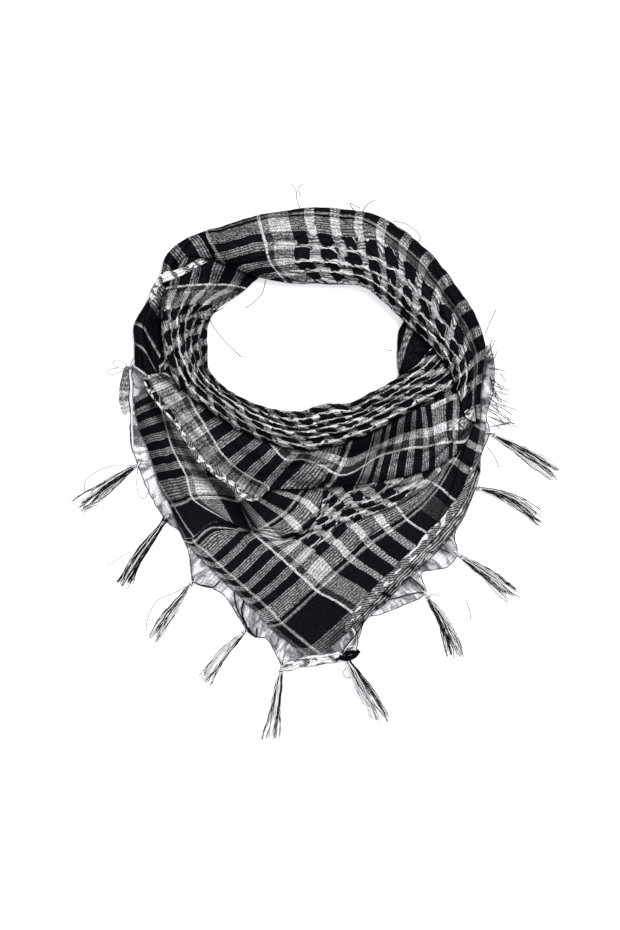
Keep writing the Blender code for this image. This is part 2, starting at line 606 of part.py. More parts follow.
# ---------------------------------------------------------------- the hidden layers
HOLE = (  # the neck hole's edge
    (254, 279), (288, 284), (320, 286), (346, 287), (362, 287), (378, 297), (394, 312), (400, 325), (396, 340),
    (394, 355), (393, 368), (394, 376), (370, 388), (348, 399), (322, 405), (302, 411), (279, 410), (258, 404),
    (236, 392), (220, 378), (210, 364), (208, 345), (209, 323), (219, 309), (235, 289),
)
OUTLINE = (  # the outer edge of the thick layers, and how far the hidden ones stay inside it: x, y, squares
    (134, 320, 7), (146, 303, 7), (160, 278, 7), (166, 256, 7), (184, 240, 7), (205, 231, 7), (235, 223, 7),
    (260, 215, 7), (285, 211, 7), (320, 208, 7), (353, 210, 7), (380, 217, 7), (407, 234, 7), (430, 253, 7),
    (452, 280, 7), (470, 307, 7), (482, 333, 5), (484, 350, 4), (484, 370, 3.5), (482, 390, 3.5), (475, 412, 4),
    (470, 430, 4), (468, 450, 4), (460, 472, 4), (446, 482, 4), (440, 498, 4), (434, 512, 4), (418, 536, 4),
    (398, 556, 4), (378, 576, 4), (350, 600, 4), (342, 614, 4), (330, 630, 5), (314, 632, 5), (302, 624, 5),
    (290, 608, 4), (266, 584, 4), (240, 558, 4), (224, 548, 4), (203, 518, 4), (192, 500, 4), (174, 468, 4),
    (160, 438, 4), (153, 410, 4), (152, 394, 4), (150, 380, 5), (138, 358, 8), (134, 340, 7),
)
HOLE_CENTRE = (303.0, 347.0)
CORE_MESH = (72, 10)


def drawn_in(outline):
    """The outline with each point moved towards the hole's centre by its own inset."""
    rows = np.asarray(outline, float)
    arm = rows[:, :2] - HOLE_CENTRE
    return rows[:, :2] - arm / np.linalg.norm(arm, axis=1, keepdims=True) * rows[:, 2:]


def edge_in_direction(outline, angles):
    """How far the outline is from the hole's centre along each direction, in squares."""
    loop = np.asarray(outline, float)[:, :2] - HOLE_CENTRE
    found = np.zeros(len(angles))
    for a, b in zip(loop, np.roll(loop, -1, axis=0)):
        for k, angle in enumerate(angles):
            ray = np.array([math.cos(angle), math.sin(angle)])
            side = b - a
            cross = ray[0] * side[1] - ray[1] * side[0]
            if abs(cross) < 1e-9:
                continue
            far = (a[0] * side[1] - a[1] * side[0]) / cross
            share = (a[0] * ray[1] - a[1] * ray[0]) / cross
            if far > 0 and -1e-9 <= share <= 1 + 1e-9:
                found[k] = max(found[k], far)
    return found


def core_points(ceiling):
    """The upper face of the solid that stands for the hidden layers: the walls' lowest height, less a gap."""
    around, out = CORE_MESH
    angles = np.linspace(0, 2 * math.pi, around, endpoint=False)
    inner = edge_in_direction(HOLE, angles) + HOLE_INSET
    outer = edge_in_direction(drawn_in(OUTLINE), angles)
    share = np.linspace(0, 1, out)[None, :]
    far = inner[:, None] * (1 - share) + outer[:, None] * share
    x, y = plan(HOLE_CENTRE[0] + far * np.cos(angles)[:, None], HOLE_CENTRE[1] + far * np.sin(angles)[:, None])
    points = np.stack([x, y, np.zeros_like(x)], axis=-1)
    ring = np.concatenate([points, points[:1]])
    samples = inside_facets(ring)
    cx, cy = cells_of(samples[..., 0], samples[..., 1])
    above = ceiling[cx, cy]
    low = np.where(np.isfinite(above), above, CORE_BARE).min(axis=(2, 3))
    height = np.full((around, out), np.inf)
    for i in (0, 1):
        for j in (0, 1):
            rows = (np.arange(around) + i) % around
            block = height[rows, j : j + out - 1]
            height[rows, j : j + out - 1] = np.minimum(block, low)
    points[..., 2] = np.maximum(height - CORE_GAP, CORE_BASE)
    return points


def add_core(name, points, material):
    """A closed ring with a flat underside on the table."""
    around, out = points.shape[:2]
    floor = points.copy()
    floor[..., 2] = 0
    index = np.arange(around * out).reshape(around, out)
    below = index + around * out
    faces = []
    for i in range(around):
        k = (i + 1) % around
        for j in range(out - 1):
            a, b, c, d = index[i, j], index[k, j], index[k, j + 1], index[i, j + 1]
            faces += [(a, b, d), (b, c, d)]
        a, b, c, d = below[i, 0], below[k, 0], below[k, out - 1], below[i, out - 1]
        faces += [(a, d, b), (b, d, c)]
        for j, turn in ((0, 1), (out - 1, -1)):
            a, b, c, d = index[i, j], index[k, j], below[k, j], below[i, j]
            faces += [(a, d, b)[::turn], (b, d, c)[::turn]]
    vertices = np.concatenate([points.reshape(-1, 3), floor.reshape(-1, 3)])
    used = np.unique(np.asarray(faces))
    renumber = np.full(len(vertices), -1)
    renumber[used] = np.arange(len(used))
    faces = renumber[np.asarray(faces)]
    vertices = vertices[used]
    if faces_point_in(vertices, faces):
        faces = faces[:, ::-1]
    return add_object(name, vertices, faces, material)


# ---------------------------------------------------------------- tassels
def knot_face(vertices, tassel, lanes, face):
    """Adds one end of a knot as a lattice of points, and gives their numbers by lane and row."""
    middle = tassel["start"] + tassel["ahead"] * face["forward"]
    numbers = []
    for lane in range(lanes + 1):
        at = middle + tassel["side"] * face["width"] * (lane / lanes - 0.5)
        for row in range(STRAND_ROWS + 1):
            vertices.append((*at, face["foot"] + face["height"] * row / STRAND_ROWS))
            numbers.append(len(vertices) - 1)
    return np.array(numbers).reshape(lanes + 1, STRAND_ROWS + 1)


def add_tassel(name, knot, end, spread_width, material):
    """A knot whose front face is a lattice of small facets, with a three-sided strand drawn out of each."""
    start = np.array(plan(*knot))
    reach = np.array(plan(*end)) - start
    length = np.linalg.norm(reach)
    ahead = reach / length
    tassel = {
        "start": start,
        "ahead": ahead,
        "side": np.array([-ahead[1], ahead[0]]),
        "length": length,
        "spread": spread_width * SQUARE,
        "lanes": TASSEL_STRANDS // STRAND_ROWS,
    }
    lanes = tassel["lanes"]
    vertices = []
    faces = []
    front = knot_face(vertices, tassel, lanes, KNOT_FRONT)
    back = knot_face(vertices, tassel, lanes, KNOT_BACK)
    for lane in range(lanes):
        for row in range(STRAND_ROWS):
            a, b, c, d = front[lane, row], front[lane + 1, row], front[lane + 1, row + 1], front[lane, row + 1]
            faces.append((a, b, d))
            grow_strand(vertices, faces, (b, c, d), tassel, lane, row)
            a, b, c, d = back[lane, row], back[lane + 1, row], back[lane + 1, row + 1], back[lane, row + 1]
            faces += [(a, d, b), (b, d, c)]
        for row in (0, STRAND_ROWS):
            quad = (front[lane, row], front[lane + 1, row], back[lane + 1, row], back[lane, row])
            faces += halves(quad[::-1] if row == 0 else quad)
    for row in range(STRAND_ROWS):
        for lane in (0, lanes):
            quad = (front[lane, row], front[lane, row + 1], back[lane, row + 1], back[lane, row])
            faces += halves(quad[::-1] if lane == lanes else quad)
    vertices = np.array(vertices)
    if faces_point_in(vertices, faces):
        faces = [face[::-1] for face in faces]
    return add_object(name, vertices, faces, material)


def halves(quad):
    a, b, c, d = quad
    return [(a, b, d), (b, c, d)]


def grow_strand(vertices, faces, root, tassel, lane, row):
    """Draws one facet out into a strand of three sides, and closes its end."""
    offset = (lane + 0.5) / tassel["lanes"] - 0.5
    reach = tassel["length"] * (1 - 0.05 * ((lane * 3 + row * 2) % 4))
    bow = STRAND_BEND * tassel["spread"] * math.sin(lane * 2.3 + row)
    corners = [np.array(vertices[k]) for k in root]
    middle = sum(corners) / 3
    level = STRAND_LIFT + ROW_STEP * row
    ring = root
    for share, size in STRAND_RINGS:
        across = offset * wide_at(share) * tassel["spread"] + bow * math.sin(math.pi * share)
        centre = tassel["start"] + tassel["ahead"] * reach * share + tassel["side"] * across
        height = level + (middle[2] - level) * (1 - share) ** 2
        new = []
        for corner in corners:
            arm = (corner - middle) / np.linalg.norm(corner - middle) * STRAND_RADIUS * size
            vertices.append(tuple(np.array([*centre, height]) + arm))
            new.append(len(vertices) - 1)
        for k in range(3):
            faces += halves((ring[k], ring[(k + 1) % 3], new[(k + 1) % 3], new[k]))
        ring = new
    faces.append(tuple(ring))


def wide_at(share):
    """How far a tassel has spread at a share of its length: pinched at the knot, full at two thirds."""
    return 0.42 + 0.58 * min(1.0, share * 1.5)


# ---------------------------------------------------------------- the object
def main():
    for obj in list(bpy.data.objects):
        bpy.data.objects.remove(obj)
    cloths = {name: fabric(name, colour) for name, colour in COLOURS.items()}
    floor = np.zeros((RASTER, RASTER))
    ceiling = np.full((RASTER, RASTER), np.inf)
    for stretch in STACK:
        name = stretch["name"]
        cloth = cloths[stretch["cloth"]]
        points = round_the_edges(net_points(stretch), stretch, floor)
        if stretch in ON_TABLE:
            lower = points * (1, 1, 0)
            add_wall(name, points, lower, cloth)
            add_to_floor(points, floor)
            continue
        points = add_folds(points, FOLDS.get(name, ()))
        points = lay_on(points, CLOTH, floor, GAP)
        lower = under_face(points, CLOTH)
        add_wall(name, points, lower, cloth)
        add_to_floor(points, floor)
        lower_ceiling(lower, ceiling)
    add_core("hidden_layers", core_points(ceiling), cloths["hidden folds"])
    for number, (knot, end, spread_width) in enumerate(TASSELS, 1):
        add_tassel(f"tassel_{number:02d}", knot, end, spread_width, cloths["thread"])


main()
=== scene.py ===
"""Looks for a black and white check headscarf, folded to a triangle, wound round a neck hole and laid flat.

Each stretch of cloth that shows is one thin sheet. Its form is a net of sections, and every point of it
also carries its place on the woven square, so that the stripes run through the folds as in the real weave.
Plan places are squares of a 1.1 mm drawing grid, x to the right and y down, and heights are millimetres.
Places on the cloth are in the same squares, p inwards from the left hem and q inwards from the right hem.
"""

import math

import bmesh
import bpy
import numpy as np
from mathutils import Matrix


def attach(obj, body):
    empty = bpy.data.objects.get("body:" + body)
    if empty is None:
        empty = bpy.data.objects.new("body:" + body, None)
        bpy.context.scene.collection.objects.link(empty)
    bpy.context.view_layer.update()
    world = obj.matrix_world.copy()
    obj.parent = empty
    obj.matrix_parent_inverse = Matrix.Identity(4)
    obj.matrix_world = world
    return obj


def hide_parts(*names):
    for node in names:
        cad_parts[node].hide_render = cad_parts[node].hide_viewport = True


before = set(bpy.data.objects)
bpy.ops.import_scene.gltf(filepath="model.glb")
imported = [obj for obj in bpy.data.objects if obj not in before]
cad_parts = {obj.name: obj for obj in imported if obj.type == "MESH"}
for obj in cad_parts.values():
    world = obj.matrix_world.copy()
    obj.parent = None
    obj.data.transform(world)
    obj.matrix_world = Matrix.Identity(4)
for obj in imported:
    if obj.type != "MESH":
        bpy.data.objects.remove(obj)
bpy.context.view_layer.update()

# ---------------------------------------------------------------- driving dimensions
SQUARE = 0.0011  # m, one square of the drawing grid
MM = 0.001
PLAN_CENTRE = (317.2, 478.2)  # the grid point that becomes X = Y = 0
CLOTH = 0.7 * MM  # thickness of the cotton
GAP = 0.5 * MM  # air between two layers
LOWEST_CLOTH = 1.1 * MM  # the least height of a sheet's top over the table
LOWEST_ROLL = 1.0 * MM
LAYER = 2.6 * MM  # from one hidden layer to the next
CELL = 0.0012  # m, the plan raster on which the layers are stacked
RASTER = 560
CLOTH_SCALE = 600.0  # squares of cloth for one whole UV unit
HIDDEN_CLOTH = (160, 330)  # the place on the cloth that the hidden layers have at X = Y = 0
# for the painted fold shade: how many times the pile is softened before a fold is compared with it, and the
# depth that counts as full shade
FOLD_DEPTHS = ((2, 0.8 * MM), (6, 1.8 * MM), (24, 4.5 * MM))
CREST_HEIGHT = 1.2 * MM  # over the cloth around it, where a crest's painted highlight counts as full

# how much more cloth a stretch holds than its smooth net, and a rolled strip than its width
GATHERED_ACROSS = 1.1
GATHERED_ALONG = 1.05
ROLLED_OVER = 1.3
NARROWEST = 0.010  # m, the least width of a rolled strip's cloth
ROLL_COLUMNS = 17

# the weave, in squares of cloth
FIELD_P = 97.5  # where the check field starts, from the left hem
PERIOD_P = 24.6  # black and white together along p
BLACK_P = 16.3
PERIOD_Q = 16.7
BLACK_Q = 8.5
FIRST_FIELD_Q = (80.0, 155.0)
WHOLE_CHECKS_Q = 146.8  # where the first field's last whole check ends
BETWEEN_FIELDS_Q = 200.0
SECOND_FIELD_Q = 246.0
NEVER = 1e6  # farther than any cloth reaches
PLAIN_CLOTH, ARM_CLOTH, COWL_CLOTH = range(3)
BANDS = (  # where each kind of cloth stops having check columns, and where they start again
    (NEVER, NEVER),
    (171.3, 245.0),  # the right arm's has two lines and no columns there
    (163.0, 252.3),  # the cowl's has the second band of wide stripes there
)
KIND_STEP = 1000.0  # added to p once for the right arm's cloth and twice for the cowl's
RIB_Q = 2.4
RIB_P = 2.5
HEM_WIDTH = 26.5  # just over what shows of the second layer's hem
BLOCK_PERIOD = 13.5  # along a rolled edge whose floats lie in blocks
BLOCK = 6.6

# stripes of the border: where each starts, in squares of cloth, and how white it is
P_SPAN = 128.0
P_STRIPES = (
    (0, 0.50), (6.5, 0.35), (9.5, 0.3), (15.5, 0.0), (24, 0.8), (26.5, 0.0), (70, 1.0), (72.5, 0.15),
    (78.5, 1.0), (97.5, 0.0),
)
BAND_SPAN = 288.0
# the border and the first wide columns, which the arm's and the cowl's cloth have alike
WIDE_COLUMNS = P_STRIPES + ((113.8, 1.0), (122.1, 0.0), (138.4, 1.0), (146.7, 0.0), (163, 1.0))
ARM_STRIPES = WIDE_COLUMNS + (
    (171.3, 0.0), (187.5, 0.9), (190, 0.0), (205, 0.12), (225, 0.0), (233.5, 0.9), (236, 0.0),
)
COWL_STRIPES = WIDE_COLUMNS + (
    (182, 0.15), (187.5, 1.0), (190, 0.0), (233.5, 1.0), (236, 0.1), (244, 1.0), (252.3, 0.0),
)
Q_SPAN = 256.0
Q_STRIPES = (
    (0, 0.55), (16, 0.0), (56, 0.8), (59, 0.0), (63, 1.0), (80, 0.0), (88.5, 1.0), (96.7, 0.0),
    (105.2, 1.0), (113.4, 0.0), (121.9, 1.0), (130.1, 0.0), (138.6, 1.0), (146.8, 0.0), (155, 1.0),
    (172, 0.0), (176, 0.8), (179.5, 0.0), (222, 0.8), (225.5, 0.0), (229, 1.0), (246, 0.0),
)
# thin lines of thicker white thread in the border
THIN_P = ((0, 0.0), (24, 0.32), (26.2, 0.0), (70.2, 0.85), (72.2, 0.0))
THIN_BAND = ((0, 0.0), (187.8, 0.6), (189.8, 0.0), (233.8, 0.6), (235.8, 0.0))
THIN_Q = ((0, 0.0), (56.4, 0.30), (58.6, 0.0), (176.4, 0.50), (179, 0.0), (222.4, 0.52), (225, 0.0))

INK = (0.0016, 0.0019, 0.0032, 1)
COTTON = (0.660, 0.655, 0.662, 1)
PAINTED_SHADE_DARK = (0.0006, 0.0007, 0.0012, 1)  # painted shade, darkest in the hollows between the folds
# the darkest of the gauze: its weave and grey patches, and the painted shade of its pleats and hollows
PLEAT_SHADE = (0.004, 0.005, 0.008, 1)
GAUZE = (0.70, 0.70, 0.72, 1)
FLOAT_COTTON = (0.78, 0.775, 0.78, 1)
THREAD_COTTON = (0.74, 0.73, 0.735, 1)
PAPER = (0.93, 0.93, 0.94, 1)
SKY = (0.92, 0.95, 1.0, 1)
SKY_STRENGTH = 0.85

FLOOR_HALF = 3.0  # m
VIEW_CENTRE = (310.0, 465.0)
VIEW_SIZE = 930  # squares from the top of the view to its bottom
DISTANCE = 5.0  # m, from the camera to the table
SENSOR = 24.0  # mm

# ---------------------------------------------------------------- the stretches
# The second layer's hems are pale gauze and lie on the table.
HEMS = ("under_hem_left", "under_hem_tip", "under_hem_right", "side_hem_right")
SLOTS = {  # of the stretches that aren't black_cotton
    **dict.fromkeys(HEMS, "pale_hem"),
    **dict.fromkeys(("corner_scrap", "lower_cowl", "front_neck_roll", "back_neck"), "check_cotton"),
}
# A row is a section across the stretch, from its outer edge to its inner edge, with an entry (x, y, z) for
# each column. "axis" says whether rows count p or q, "along" is the cloth place of each row, "across" that
# of each column, "mesh" the count of points. The values below hold where a stretch doesn't state its own.
DEFAULTS = {
    "kind": PLAIN_CLOTH,
    "lean": 0.0,  # how much a row's cloth place changes over its width ...
    "lean_from": 0.0,  # ... and from which share of the width on
    "pulled": 0.0,  # what is added to the cloth place at single points
    "tuck": None,  # the places p where a tuck starts and is whole, and the places q before and after it
    "draw": (0.68, 0.52, 0.52),  # a check's black share along p, and along q at the outer and inner edge
    "drawn": (0.2, 0.2),  # how tightly the floats draw the cloth together at the outer and inner edge
    "sides": (1.5, 0.0, 0.0, 0.0),  # width over which outer edge, inner edge, first and last row round down
    "pucker": 0.2,  # height of the weave's relief, mm
}
STRETCHES = (
    {
        "name": "under_hem_left",
        "axis": "q",
        "along": (352, 332, 312, 292, 274, 258, 240, 222, 204, 184, 160, 138, 116, 86, 70, 54, 24),
        "across": (2, 12, 26),
        "mesh": (330, 26),
        "rows": (
            ((132, 366, 2.2), (140, 372, 1.8), (150, 380, 1.5)),
            ((133, 392, 1.6), (141, 394, 1.6), (152, 394, 1.5)),
            ((131, 418, 1.6), (142, 418, 1.6), (153, 416, 1.5)),
            ((131, 444, 1.6), (144, 444, 1.6), (160, 438, 1.5)),
            ((138, 464, 2.4), (149, 459, 1.8), (166, 452, 1.5)),
            ((143, 479, 1.6), (156, 474, 1.6), (174, 468, 1.5)),
            ((153, 500, 1.6), (164, 493, 1.6), (183, 484, 1.5)),
            ((165, 519, 2.4), (175, 511, 1.8), (192, 500, 1.5)),
            ((180, 532, 1.6), (188, 526, 1.6), (203, 518, 1.5)),
            ((190, 556, 1.6), (200, 548, 1.6), (214, 534, 1.5)),
            ((193.5, 581, 2.4), (206, 568, 1.8), (224, 548, 1.5)),
            ((210, 587, 1.6), (222, 574, 1.6), (240, 558, 1.5)),
            ((228, 599, 1.6), (238, 587, 1.6), (254, 571, 1.5)),
            ((246, 629.5, 2.4), (253, 608, 1.8), (266, 584, 1.5)),
            ((257, 637, 1.8), (264, 616, 1.6), (278, 595, 1.5)),
            ((268, 640, 1.6), (277, 626, 1.6), (290, 608, 1.5)),
            ((282, 667, 2.4), (288, 645, 1.8), (302, 624, 1.5)),
        ),
    },
    {
        "name": "under_hem_tip",
        "axis": "p",
        "along": (4, 18, 38, 56),
        "across": (2, 12, 26),
        "sides": (2.0, 0.0, 0.0, 0.0),
        "mesh": (60, 30),
        "rows": (
            ((281, 668, 1.9), (287, 650, 1.9), (300, 630, 1.5)),
            ((301, 665, 2.3), (307, 655, 2.1), (314, 636, 1.5)),
            ((320, 662, 2.3), (321, 654, 2.1), (322, 636, 1.5)),
            ((345, 656, 2.1), (341, 646, 2.0), (334, 630, 1.5)),
        ),
    },
    {
        "name": "under_hem_right",
        "axis": "p",
        "along": (60, 80, 104, 122, 148, 178, 196, 212, 230, 250, 272, 294, 322),
        "across": (2, 12, 26),
        "mesh": (250, 26),
        "rows": (
            ((344, 654.5, 2.4), (340, 645, 1.9), (333, 626, 1.5)),
            ((357, 642, 1.6), (350, 632, 1.6), (342, 614, 1.5)),
            ((366, 619, 1.6), (362, 614, 1.6), (350, 600, 1.5)),
            ((380, 614, 1.6), (376, 604, 1.6), (364, 588, 1.5)),
            ((402, 606, 1.6), (394, 595, 1.6), (378, 576, 1.5)),
            ((425.5, 593.5, 2.4), (411, 584, 1.8), (390, 564, 1.5)),
            ((421, 574, 1.6), (413, 569, 1.6), (398, 556, 1.5)),
            ((434, 570, 1.6), (426, 563, 1.6), (408, 546, 1.5)),
            ((449, 566, 1.6), (438, 554, 1.6), (418, 536, 1.5)),
            ((457.5, 554, 2.4), (447, 543, 1.8), (428, 524, 1.5)),
            ((455, 534, 1.6), (450, 528, 1.6), (434, 512, 1.5)),
            ((466, 514, 1.6), (457, 508, 1.6), (440, 498, 1.5)),
            ((474.5, 486.5, 2.4), (463, 485, 1.8), (446, 482, 1.5)),
        ),
    },
    {
        "name": "side_hem_right",
        "axis": "p",
        "along": (330, 350, 374, 392, 418, 444, 468),
        "across": (2, 8, 16),
        "mesh": (120, 20),
        "rows": (
            ((480, 474, 1.7), (473, 473, 1.6), (465, 472, 1.5)),
            ((481, 455, 1.7), (475, 453, 1.6), (468, 451, 1.5)),
            ((489.5, 433, 2.4), (480, 432, 1.8), (471, 430, 1.5)),
            ((486, 416, 1.8), (481, 414, 1.6), (476, 412, 1.5)),
            ((493, 392, 1.8), (487, 390, 1.6), (481, 390, 1.5)),
            ((494, 366, 1.8), (488, 366, 1.6), (482, 368, 1.5)),
            ((490, 344, 1.6), (486, 346, 1.6), (482, 348, 1.5)),
        ),
    },
    {
        "name": "corner_scrap",
        "axis": "q",
        "along": (196, 184, 173.5, 163),
        "across": (80, 86, 92),
        "sides": (2.0, 2.0, 2.0, 3.0),
        "mesh": (50, 22),
        "pucker": 0.3,
        "rows": (
            ((124, 368, 2.2), (127, 366, 3.4), (130.5, 368, 2.2)),
            ((120, 384, 1.8), (125, 384, 2.8), (130.5, 384, 1.8)),
            ((119, 400, 1.7), (124, 400, 2.4), (129.5, 399, 1.7)),
            ((122, 414, 1.6), (125.5, 415, 1.8), (129, 412, 1.6)),
        ),
    },
    {
        "name": "inner_right_layer",
        "axis": "q",
        "along": (24, 32, 40, 46, 52),
        "across": (
            (111, 121, 131), (107, 123, 137), (112, 130, 137.5), (119, 130, 137.5), (124, 130, 137.5),
        ),
        "sides": (5.0, 0.0, 3.0, 3.0),
        "mesh": (60, 50),
        "rows": (
            ((404, 321, 9), (414, 316, 9), (424, 312, 7)),
            ((398, 333, 9), (414, 330, 12), (432, 327, 10)),
            ((397, 351, 9), (415, 348, 14), (438, 345, 12)),
            ((397, 363, 9), (414, 364, 14), (436, 366, 12)),
            ((399, 377, 8), (410, 381, 11), (426, 386, 9)),
        ),
    },
    {
        "name": "front_panel",
        "draw": (0.7, 0.56, 0.56),
        "axis": "q",
        "kind": ARM_CLOTH,
        "along": (3, 28, 56, 80, 113, 147, 163, 179, 222),
        "across": (10, 25, 48, 71, 98, 122, 147, 196, 232, 262, 290, 320),
        "sides": (2.0, 0.0, 3.0, 0.0),
        "mesh": (190, 220),
        "pucker": 0.7,
        "rows": (
            ((304, 655, 3.2), (318, 653, 3.4), (338, 641, 3.8), (360, 620, 4.4), (381, 601, 5),
             (399, 587, 5.2), (416, 572, 5.5), (449, 538, 6), (466, 508, 6), (476, 478, 6), (482, 450, 6),
             (485, 424, 5)),
            ((288, 642, 3.4), (302, 640, 3.8), (320, 622, 4), (340, 604, 4.6), (360, 586, 5.4),
             (378, 573, 6.2), (396, 560, 7), (431, 528, 8), (451, 501, 8.5), (464, 473, 9), (472, 446, 8),
             (478, 420, 7)),
            ((270, 627, 3.4), (283, 624, 4), (301, 608, 4.4), (318, 592, 5), (338, 573, 5.8), (356, 558, 7),
             (374, 543, 8), (413, 516, 9), (438, 490, 9.5), (453, 465, 9.5), (465, 442, 9), (471, 414, 8)),
            ((255, 612, 3.4), (266, 607, 4), (284, 593, 4.4), (301, 577, 5), (320, 556, 5.8), (338, 539, 7),
             (356, 522, 8), (400, 501, 8), (426, 481, 8), (441, 457, 8), (452, 434, 8), (460, 410, 8)),
            ((228, 585, 3.4), (243, 586, 4), (260, 571, 4.6), (277, 555, 5.2), (298, 540, 6), (317, 526, 7),
             (336, 506, 8), (372, 474, 8), (398, 452, 8), (414, 434, 8), (428, 418, 8), (440, 400, 8)),
            ((201, 559, 3.4), (216.5, 562.5, 4), (234, 548, 4.6), (252, 533, 5.6), (285, 539, 6.5),
             (307, 530, 7), (324, 512, 8), (352, 464, 8), (372, 440, 8), (388, 420, 8), (402, 410, 8),
             (412, 396, 8)),
            ((192, 549, 3.4), (206, 552, 4), (224, 537, 4.8), (244, 527, 6), (274, 531, 6.8),
             (295, 519, 7.4), (311, 501, 8), (332, 468, 8), (352, 444, 8), (368, 424, 8), (384, 412, 8),
             (400, 400, 8)),
            ((184, 540, 3.4), (194, 541, 4.2), (212, 527, 5), (252, 530, 6), (268, 523, 7), (285, 511, 7.6),
             (298, 495, 8), (316, 470, 8), (338, 446, 8), (352, 430, 8), (368, 414, 8), (384, 404, 8)),
            ((174, 516, 3.4), (182, 514, 4.2), (196, 508, 5), (236, 503, 6), (244, 499, 6.6), (253, 494, 7),
             (266, 485, 7), (290, 462, 7), (312, 444, 7), (334, 430, 7), (352, 416, 7), (370, 406, 7)),
        ),
    },
    {
        "name": "left_panel",
        "draw": (0.7, 0.56, 0.56),
        "axis": "q",
        "along": (179, 222, 246, 279, 312, 345),
        "across": (
            (10, 25, 48, 71, 98, 112), (18, 36, 54, 71, 97, 112), (24, 40, 56, 71, 95, 110),
            (27, 42, 56, 71, 90, 110), (28, 42, 56, 71, 88, 108), (28, 42, 56, 71, 88, 108),
        ),
        "sides": (3.0, 0.0, 2.0, 3.0),
        "mesh": (140, 90),
        "pucker": 0.4,
        "rows": (
            ((184.5, 539, 3.4), (194, 537, 4.2), (210, 524, 5.2), (228, 521, 7.5), (234, 524, 9),
             (251, 531, 8.5)),
            ((171, 508, 4.0), (180, 506, 5.4), (188, 503, 6.5), (194, 500, 7.5), (220, 499, 10),
             (239, 503, 9)),
            ((158, 482, 4.0), (168, 479, 6.0), (177, 478, 8.0), (186, 476, 9.0), (206, 478, 10),
             (226, 480, 9)),
            ((149, 452, 4.0), (158, 450, 7.0), (165, 449, 9.0), (172, 447, 10.0), (190, 450, 9),
             (212, 448, 8)),
            ((138, 424, 4.0), (147, 420, 8.0), (156, 417, 10.0), (163, 415, 11.0), (173, 412, 12),
             (190, 406, 12)),
            ((134, 398, 4.0), (142, 394, 8.0), (149, 390, 10.0), (155, 388, 11.0), (163, 386, 12),
             (176, 384, 12)),
        ),
    },
    {
        "name": "lower_cowl",
        "drawn": (0.6, 0.6),
        "draw": (0.60, 0.66, 0.66),
        "axis": "p",
        "along": (110, 122, 140, 166, 197, 212, 240),
        "lean": (55, 50, 45, 40, 31, 17, 5),
        "across": (
            (113, 136, 160), (103, 132, 160), (90, 118, 146), (80, 110, 142), (75, 101, 125), (70, 90, 105),
            (66, 82, 96),
        ),
        "sides": (6.0, 0.0, 4.0, 4.0),
        "mesh": (180, 60),
        "pucker": 0.9,
        "rows": (
            ((308, 531, 6), (320, 512, 7), (324, 486, 6)),
            ((324, 528, 8), (330, 506, 11), (332, 480, 8)),
            ((344, 522, 10), (346, 502, 13), (348, 476, 9)),
            ((370, 515, 11), (370, 498, 14), (370, 470, 9)),
            ((400, 503, 11), (398, 488, 14), (397, 464, 9)),
            ((424, 488, 11), (422, 476, 13), (419, 456, 9)),
            ((441, 470, 10), (438, 462, 10), (434, 448, 8)),
        ),
    },
    {
        "name": "left_shoulder",
        "drawn": (0.6, 0.6),
        "draw": (0.7, 0.6, 0.6),
        "axis": "q",
        "along": (302, 285, 268, 250, 228, 223.5, 178, 173),
        "across": (28, 42, 56, 68),
        "sides": (8.0, 0.0, 3.0, 3.0),
        "mesh": (140, 70),
        "pucker": 0.4,
        "rows": (
            ((205, 231, 9), (211, 240, 12), (217, 250, 10), (224, 262, 8)),
            ((184, 240, 15), (191, 250, 17), (199, 262, 12), (208, 276, 8)),
            ((166, 256, 17), (172, 262, 19), (180, 272, 12), (192, 286, 8)),
            ((160, 278, 17), (165, 281, 18), (172, 288, 11), (184, 298, 7)),
            ((146, 303, 18), (152, 309, 19), (159, 320, 10), (170, 336, 6)),
            ((134, 324, 18), (143, 328, 19), (150, 340, 11), (160, 358, 6)),
            ((134, 343, 17), (144, 349, 17), (151, 361, 9), (160, 378, 6)),
            ((135, 366, 8), (144, 372, 8), (152, 380, 6), (161, 392, 5)),
        ),
    },
    {
        "name": "upper_cowl",
        "drawn": (0.5, 0.6),
        "draw": (0.68, 0.56, 0.62),
        "axis": "q",
        "along": (392, 366, 347, 322, 302, 282, 262, 250, 234, 216, 150, 118, 92, 66, 50, 30),
        "across": (
            (156, 175, 185, 197), (155, 175, 191, 203), (156, 186, 201, 217), (158, 189, 211, 230),
            (160, 194, 223, 241), (162, 198, 227, 251), (164, 189, 231, 259), (193, 209, 234, 266),
            (205, 221, 243, 280), (214, 234, 255, 284), (205, 222, 243, 280), (202, 220, 242, 276),
            (200, 222, 245, 275), (214, 230, 248, 274), (230, 240, 254, 274), (240, 248, 260, 276),
        ),
        "kind": COWL_CLOTH,
        "sides": (6.0, 0.0, 4.0, 4.0),
        "mesh": (300, 80),
        "pucker": 0.5,
        "rows": (
            ((142, 378, 8), (150, 375, 10), (159, 373, 11), (170, 372, 11)),
            ((155, 400, 11), (170, 393, 12), (186, 386, 13), (200, 380, 7)),
            ((171, 420, 12), (191, 408, 14), (206, 399, 15), (222, 390, 9)),
            ((190, 444, 13), (209, 432, 15), (228, 420, 16), (244, 408, 10)),
            ((208, 466, 14), (226, 452, 16), (248, 436, 18), (264, 422, 12)),
            ((230, 484, 15), (246, 467, 17), (266, 450, 19), (284, 434, 12)),
            ((254, 500, 15), (264, 484, 18), (284, 462, 20), (302, 442, 12)),
            ((272, 490, 16), (284, 478, 18), (302, 460, 20), (318, 442, 12)),
            ((302, 489, 16), (312, 478, 18), (326, 460, 20), (338, 438, 12)),
            ((336, 487, 16), (344, 476, 18), (352, 456, 20), (360, 432, 12)),
            ((370, 482, 16), (374, 470, 18), (380, 450, 20), (386, 424, 12)),
            ((400, 477, 16), (402, 464, 18), (406, 442, 20), (410, 412, 12)),
            ((426, 471, 16), (427, 458, 18), (427, 436, 20), (424, 407, 12)),
